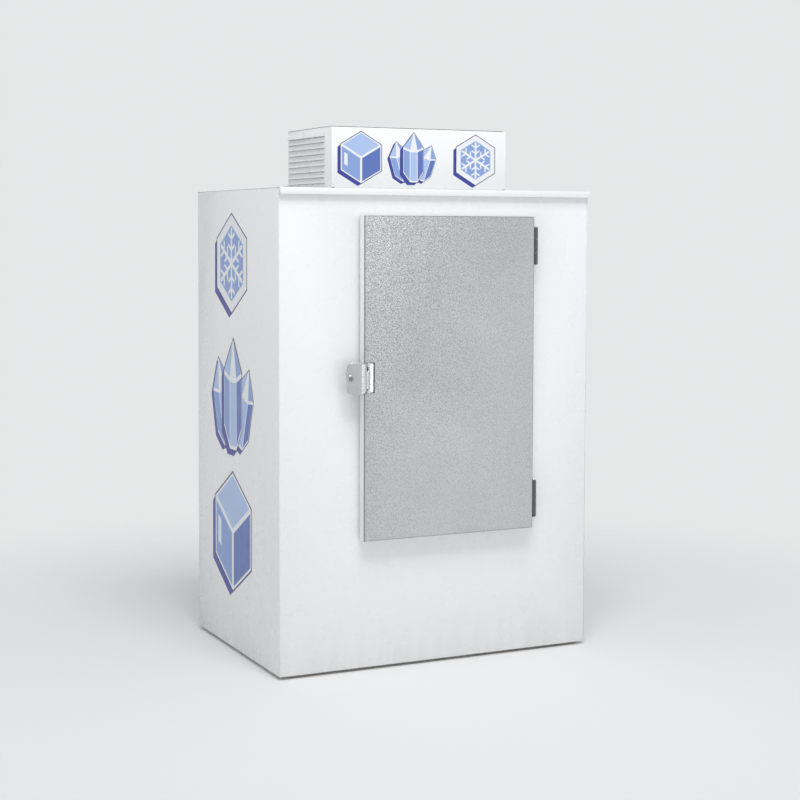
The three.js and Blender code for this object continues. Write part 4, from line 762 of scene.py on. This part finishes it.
def screw_pattern():
    pattern = Pattern("screw_row", FASTENER)
    radius = pattern.given["Radius"]

    def times(share):
        product = {0: radius, 1: share}
        return pattern.add("ShaderNodeMath", product, operation="MULTIPLY").outputs[0]

    def bar(x, y):
        sides = {0: times(x), 1: times(y), 2: times(CROSS_DEPTH)}
        size = pattern.add("ShaderNodeCombineXYZ", sides).outputs[0]
        box = pattern.add("GeometryNodeMeshCube", {"Size": size}).outputs[0]
        raised = pattern.add("ShaderNodeCombineXYZ", {2: times(HEAD_HEIGHT)}).outputs[0]
        moved = {"Geometry": box, "Translation": raised}
        return pattern.add("GeometryNodeTransform", moved).outputs[0]

    cone = {
        "Vertices": 20, "Radius Top": times(HEAD_TOP), "Radius Bottom": radius,
        "Depth": times(HEAD_HEIGHT),
    }
    head = pattern.add("GeometryNodeMeshCone", cone).outputs[0]
    cut = pattern.add("GeometryNodeMeshBoolean", operation="DIFFERENCE")
    pattern.tree.links.new(head, cut.inputs[0])
    for box in (bar(CROSS_LENGTH, CROSS_WIDTH), bar(CROSS_WIDTH, CROSS_LENGTH)):
        pattern.tree.links.new(box, cut.inputs[1])
    return pattern.close(place_heads(pattern, cut.outputs[0]))


def rivet_pattern():
    pattern = Pattern("rivet_row", FASTENER)
    ball = {"Segments": 14, "Rings": 8, "Radius": pattern.given["Radius"]}
    sphere = pattern.add("GeometryNodeMeshUVSphere", ball).outputs[0]
    flattened = {"Geometry": sphere, "Scale": (1, 1, 0.42)}
    flat = pattern.add("GeometryNodeTransform", flattened).outputs[0]
    return pattern.close(place_heads(pattern, flat))


screws, rivets = screw_pattern(), rivet_pattern()
print("screws and rivets take", list(FASTENER))


# %% [markdown]
# Each row is given by its number of heads, the first place, the step to the next, the way they face
# and their radius, in millimetres. Every head sits on the face of a CAD piece.

# %% Where the screws and rivets go
OUT_FRONT, OUT_BACK = (0.0, -1.0, 0.0), (0.0, 1.0, 0.0)
OUT_LEFT, OUT_RIGHT = (-1.0, 0.0, 0.0), (1.0, 0.0, 0.0)
HINGE_FEET = (529, 1493)


def mm(*values):
    return tuple(v * MM for v in values)


def row(count, first, step, facing, radius):
    places = {"Count": count, "First": mm(*first), "Step": mm(*step)}
    return {**places, "Facing": facing, "Radius": radius * MM}


grow(screws, "hinge_and_strike_screws", "cabinet", "chrome", [
    *[row(2, (387 + side * 7, -444.3, foot + 14), (0, 0, 112), OUT_FRONT, 2.9)
      for foot in HINGE_FEET for side in (-1, 1)],
    row(2, (-350, -444.3, 1080), (0, 0, 14), OUT_FRONT, 2.8),
])
grow(screws, "hinge_and_latch_screws", "door", "chrome", [
    *[row(2, (377.3, -460, foot + 22), (0, 0, 96), OUT_RIGHT, 3.2) for foot in HINGE_FEET],
    row(3, (-303.5, -497.3, 1043), (0, 0, 43), OUT_FRONT, 3.2),
])
grow(screws, "unit_screws", "cabinet", "white_enamel", [
    *[row(2, (-438, y, 1790), (0, 0, 185), OUT_LEFT, 3.4) for y in (-425, -30)],
    *[row(2, (277, y, 1790), (0, 0, 185), OUT_RIGHT, 3.4) for y in (-425, -30)],
    row(5, (-415, -23, 1984), (167, 0, 0), OUT_BACK, 3.4),
    row(2, (126, -149, 1786), (120, 0, 0), OUT_FRONT, 2.6),
    row(2, (126, -151, 1908), (120, 0, 0), OUT_FRONT, 2.6),
])
grow(rivets, "back_rivets", "cabinet", "aluminium_sheet", [
    *[row(12, (x, 441, 70), (0, 0, 146), OUT_BACK, 4.0) for x in (-622, 622)],
    row(9, (-540, 441, 34), (135, 0, 0), OUT_BACK, 4.0),
])
grow(rivets, "evaporator_rivets", "cabinet", "aluminium_sheet", [
    *[row(4, (x, -250, 1540), (0, 0, 46), OUT_FRONT, 2.4) for x in (-319, 123)],
])


# %% [markdown]
# The coils carry hundreds of thin fins. One fin is a plain box, and the row gives their number and
# pitch. The latch's return spring is a spiral with a round wire.

# %% Fins and spring
def fin_pattern():
    pattern = Pattern("fin_row", {**LINE_OF_POINTS, "Size": "Vector"})
    fin = pattern.add("GeometryNodeMeshCube", {"Size": pattern.given["Size"]}).outputs[0]
    wanted = {"Points": pattern.row(), "Instance": fin}
    return pattern.close(pattern.add("GeometryNodeInstanceOnPoints", wanted).outputs[0])


def spring_pattern():
    sizes = dict.fromkeys(("Turns", "Radius", "Length", "Wire"), "Float")
    pattern = Pattern("wound_spring", {**sizes, "Place": "Vector"})
    radius = pattern.given["Radius"]
    wound = {
        "Resolution": 28, "Rotations": pattern.given["Turns"], "Start Radius": radius,
        "End Radius": radius, "Height": pattern.given["Length"],
    }
    path = pattern.add("GeometryNodeCurveSpiral", wound).outputs[0]
    section = {"Resolution": 10, "Radius": pattern.given["Wire"]}
    circle = pattern.add("GeometryNodeCurvePrimitiveCircle", section).outputs[0]
    sweep = {"Curve": path, "Profile Curve": circle, "Fill Caps": True}
    wire = pattern.add("GeometryNodeCurveToMesh", sweep).outputs[0]
    moved = {"Geometry": wire, "Translation": pattern.given["Place"]}
    return pattern.close(pattern.add("GeometryNodeTransform", moved).outputs[0])


def fin_row(count, first, step, size):
    return {"Count": count, "First": mm(*first), "Step": mm(*step), "Size": mm(*size)}


fins = fin_pattern()
grow(fins, "condenser_fins", "cabinet", "aluminium_sheet", [
    fin_row(126, (-391, -395.5, 1871.4), (0, 2.6, 0), (47.2, 0.25, 186.6)),
])
grow(fins, "evaporator_fins", "cabinet", "aluminium_sheet", [
    fin_row(96, (-296, -55, 1601.2), (4.17, 0, 0), (0.3, 67, 148.6)),
])
coil = {
    "Turns": 5.0, "Radius": 4.9 * MM, "Length": 10.3 * MM, "Wire": 0.68 * MM,
    "Place": mm(-319, -504.9, 1114.3),
}
body, slot = BODY_OF["latch_spring"], SLOT_OF["latch_spring"]
spring = grow(spring_pattern(), "latch_spring_wire", body, slot, [coil])
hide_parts("latch_spring")


# %% [markdown]
# ## Ice motifs
#
# The left side and the unit's front carry printed vinyl. Each motif is a stack of thin closed
# plates a tenth of a millimetre thick: a deep blue block shade thrown to the lower left, a dark
# rim, a white line, and facets in paler blues. A motif is drawn in its own unit square, u to the
# right and v up, and a panel says where that square lies.

# %% Vinyl inks
INKS = {
    "shade": (0.04, 0.052, 0.31), "rim": (0.018, 0.024, 0.13), "white": (0.8, 0.82, 0.84),
    "pale": (0.4, 0.52, 0.79), "middle": (0.235, 0.345, 0.65), "deep": (0.1, 0.165, 0.46),
}


def vinyl(name, color):
    finish = Finish(name, color, 0.34)
    finish.rough(finish.ramp(finish.noise(14), 0.3, 0.7, 0.28, 0.44))
    finish.bump(finish.noise(300, 2), 0.00005, 0.3)
    faded = finish.ramp(finish.noise(5, 5), 0.45, 0.8, 0.0, 0.25)
    finish.tint(faded, tuple(c * 0.8 + 0.03 for c in color))
    return finish.material


vinyls = {ink: vinyl("vinyl_" + ink, color) for ink, color in INKS.items()}
print(len(vinyls), "vinyl inks")


# %% [markdown]
# Three motifs are enough: a crystal, a block of ice seen from its corner, and a snowflake on a
# hexagon. Each lists its outline, its facets, and the marks that lie on the facets. The first two
# are plain polygons between named corners.

# %% Crystal and block
def polar(radius, degrees):
    return radius * math.cos(math.radians(degrees)), radius * math.sin(math.radians(degrees))


def hexagon(radius):
    return [polar(radius, 30 + 60 * k) for k in range(6)]


def crystal_motif():
    low_left, low_right, left, right = (-0.16, -0.5), (0.2, -0.5), (-0.5, -0.3), (0.5, -0.3)
    shoulder_left, shoulder_right, apex = (-0.5, 0.2), (0.5, 0.2), (0.03, 0.5)
    inner_left, inner_right = (-0.16, 0.14), (0.2, 0.14)
    outline = [left, low_left, low_right, right, shoulder_right, apex, shoulder_left]
    facets = [
        ("middle", [left, low_left, inner_left, shoulder_left]),
        ("pale", [low_left, low_right, inner_right, inner_left]),
        ("deep", [low_right, right, shoulder_right, inner_right]),
        ("pale", [shoulder_left, inner_left, apex]),
        ("white", [inner_left, inner_right, apex]),
        ("middle", [inner_right, shoulder_right, apex]),
    ]
    return outline, facets, []


def block_motif():
    ring = hexagon(0.5)
    right, top, left, low_left, bottom, low_right = ring
    middle = (0.0, 0.0)
    gleam = [(-0.36, 0.1), (-0.29, 0.06), (-0.29, -0.17), (-0.36, -0.13)]
    facets = [
        ("pale", [right, top, left, middle]),
        ("middle", [left, low_left, bottom, middle]),
        ("deep", [right, middle, bottom, low_right]),
    ]
    return ring, facets, [("white", gleam)]


for motif in (crystal_motif, block_motif):
    print(motif.__name__, "has", len(motif()[0]), "corners and", len(motif()[1]), "facets")


# %% [markdown]
# The snowflake's arm is drawn once, on one side of its middle line. It is mirrored, then turned six
# times. The branches stay short enough to keep clear of those on the next arm, because an outline
# that crosses itself can't be filled.

# %% Snowflake
def flake_outline(radius, half_width, branches):
    """A six-armed snowflake as one outline; a branch is (start, thickness, length)."""
    side = [(radius, 0.0), (radius - half_width, half_width)]
    for start, thick, length in branches:
        end = start + thick
        out, up = length * math.cos(math.pi / 3), half_width + length * math.sin(math.pi / 3)
        side += [(end, half_width), (end + out, up), (start + out, up), (start, half_width)]
    crotch = (half_width / math.tan(math.pi / 6), half_width)
    arm = [(r, -t) for r, t in reversed(side[1:])] + side + [crotch]
    points = []
    for k in range(6):
        c, s = polar(1, 60 * k + 30)
        points += [(r * c - t * s, r * s + t * c) for r, t in arm]
    return points


ARM, HALF_WIDTH = 0.37, 0.021
BRANCHES = [(0.245, 0.036, 0.085), (0.13, 0.036, 0.08)]


def flake_motif():
    star = flake_outline(ARM, HALF_WIDTH, BRANCHES)
    return hexagon(0.5), [("middle", hexagon(0.43))], [("white", star)]


print("the snowflake has", len(flake_outline(ARM, HALF_WIDTH, BRANCHES)), "corners")


# %% [markdown]
# A panel turns (u, v, lift) into a place on the cabinet. The block shade is the hull of the outline
# and the same outline moved down and to the left.

# %% Plates on the panels
PLATE = 0.11 * MM
LAYERS_DEEP = 5
SHADE_LEFT, SHADE_DOWN = 0.07, 0.8
RIM_GROWTH, FACET_SHARE = 1.035, 0.9
SIDE_FACE, SIGN_FACE = 642.0, 441.0


def on_side(u, v, lift):
    return Vector((-SIDE_FACE * MM - lift, -u * MM, v * MM))


def on_sign(u, v, lift):
    return Vector((u * MM, -SIGN_FACE * MM - lift, v * MM))


def hull(points):
    """The outline of a band stretched round the points."""
    points = sorted(set(points))

    def chain(run):
        kept = []
        for p in run:
            while len(kept) > 1:
                (ax, ay), (bx, by) = kept[-2:]
                if (bx - ax) * (p[1] - ay) - (by - ay) * (p[0] - ax) > 0:
                    break
                kept.pop()
            kept.append(p)
        return kept[:-1]

    return chain(points) + chain(points[::-1])


def scaled(points, factor):
    """The outline, larger or smaller about its middle."""
    cu = sum(p[0] for p in points) / len(points)
    cv = sum(p[1] for p in points) / len(points)
    return [(cu + (u - cu) * factor, cv + (v - cv) * factor) for u, v in points]


def add_plate(shape, panel, outline, layer):
    """A closed plate with the outline, so many layers above the panel."""
    lows, highs = (
        [shape.verts.new(panel(u, v, lift * PLATE)) for u, v in outline]
        for lift in (layer, layer + 1)
    )
    shape.faces.new(lows[::-1])
    shape.faces.new(highs)
    for i in range(len(outline)):
        k = (i + 1) % len(outline)
        shape.faces.new((lows[i], lows[k], highs[k], highs[i]))


def add_motif(panel, motif, place, size, turn=0.0, layer=0):
    """Lays the motif's plates on the panel, with its middle at the place."""
    outline, facets, marks = motif
    c, s = polar(1, turn)
    (u0, v0), (width, tall) = place, size

    def drawn(points):
        sized = [(u * width, v * tall) for u, v in points]
        return [(u0 + u * c - v * s, v0 + u * s + v * c) for u, v in sized]

    body = drawn(outline)
    shift = SHADE_LEFT * tall
    moved = [(u - shift, v - shift * SHADE_DOWN) for u, v in body]
    add_plate(sheets["shade"], panel, hull(body + moved), layer)
    add_plate(sheets["rim"], panel, scaled(body, RIM_GROWTH), layer + 1)
    add_plate(sheets["white"], panel, body, layer + 2)
    for ink, points in facets:
        add_plate(sheets[ink], panel, scaled(drawn(points), FACET_SHARE), layer + 3)
    for ink, points in marks:
        add_plate(sheets[ink], panel, drawn(points), layer + 4)


sheets = {ink: bmesh.new() for ink in INKS}
print("a stack of plates is", round(LAYERS_DEEP * PLATE / MM, 2), "mm thick")


# %% [markdown]
# The crystals stand in groups of three that overlap, so each lies on the plates of the one before.
# A crystal is given by its place, width and height as shares of its group, and by its lean.

# %% Where the motifs go
CRYSTALS = (
    (-0.27, -0.05, 0.40, 0.78, 17), (0.27, -0.07, 0.38, 0.72, -19), (0.0, 0.03, 0.44, 0.96, 0),
)
CLUSTERS = ((on_side, (-35, 978), 440), (on_sign, (-112, 1881), 188))
SINGLES = (
    (on_side, flake_motif, (-48, 1492), 375), (on_side, block_motif, (-40, 462), 455),
    (on_sign, block_motif, (-322, 1883), 186), (on_sign, flake_motif, (148, 1883), 186),
)
for panel, (u, v), size in CLUSTERS:
    for i, (du, dv, wide, tall, lean) in enumerate(CRYSTALS):
        place, extent = (u + du * size, v + dv * size), (wide * size, tall * size)
        add_motif(panel, crystal_motif(), place, extent, lean, i * LAYERS_DEEP)
for panel, motif, place, size in SINGLES:
    add_motif(panel, motif(), place, (size, size))
for ink, shape in sheets.items():
    bmesh.ops.recalc_face_normals(shape, faces=shape.faces)
    piece = piece_from("vinyl_" + ink, shape)
    piece.data.set_sharp_from_angle(angle=0)
    piece.data.materials.append(vinyls[ink])
    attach(piece, "cabinet")
    print(ink, len(piece.data.polygons), "faces")


# %% [markdown]
# ## Floor
#
# The floor is a plain pale sheet. It keeps the cabinet's shadow close by and fades out farther
# away, so it meets the pale backdrop without a horizon line.

# %% Floor
FLOOR_HALF = 12.0
FADE_FROM, FADE_TO = 1.0, 3.2
CORNERS = ((-1, -1), (1, -1), (1, 1), (-1, 1))

floor_mesh = bpy.data.meshes.new("floor")
corners = [(x * FLOOR_HALF, y * FLOOR_HALF, 0) for x, y in CORNERS]
floor_mesh.from_pydata(corners, [], [(0, 1, 2, 3)])
floor = bpy.data.objects.new("floor", floor_mesh)
scene.collection.objects.link(floor)
pale = Finish("pale_floor", (0.82, 0.82, 0.82), 0.85)
away = pale.add("ShaderNodeVectorMath", {0: pale.place}, operation="LENGTH").outputs["Value"]
fall = {"Value": away, "From Min": FADE_FROM, "From Max": FADE_TO}
fade = pale.add("ShaderNodeMapRange", fall, interpolation_type="SMOOTHSTEP").outputs[0]
clear = pale.add("ShaderNodeBsdfTransparent").outputs[0]
mix = pale.add("ShaderNodeMixShader", {0: fade, 1: pale.shader.outputs[0], 2: clear}).outputs[0]
pale.tree.links.new(mix, pale.tree.nodes["Material Output"].inputs["Surface"])
floor_mesh.materials.append(pale.material)
print("the floor fades from", FADE_FROM, "to", FADE_TO, "m")
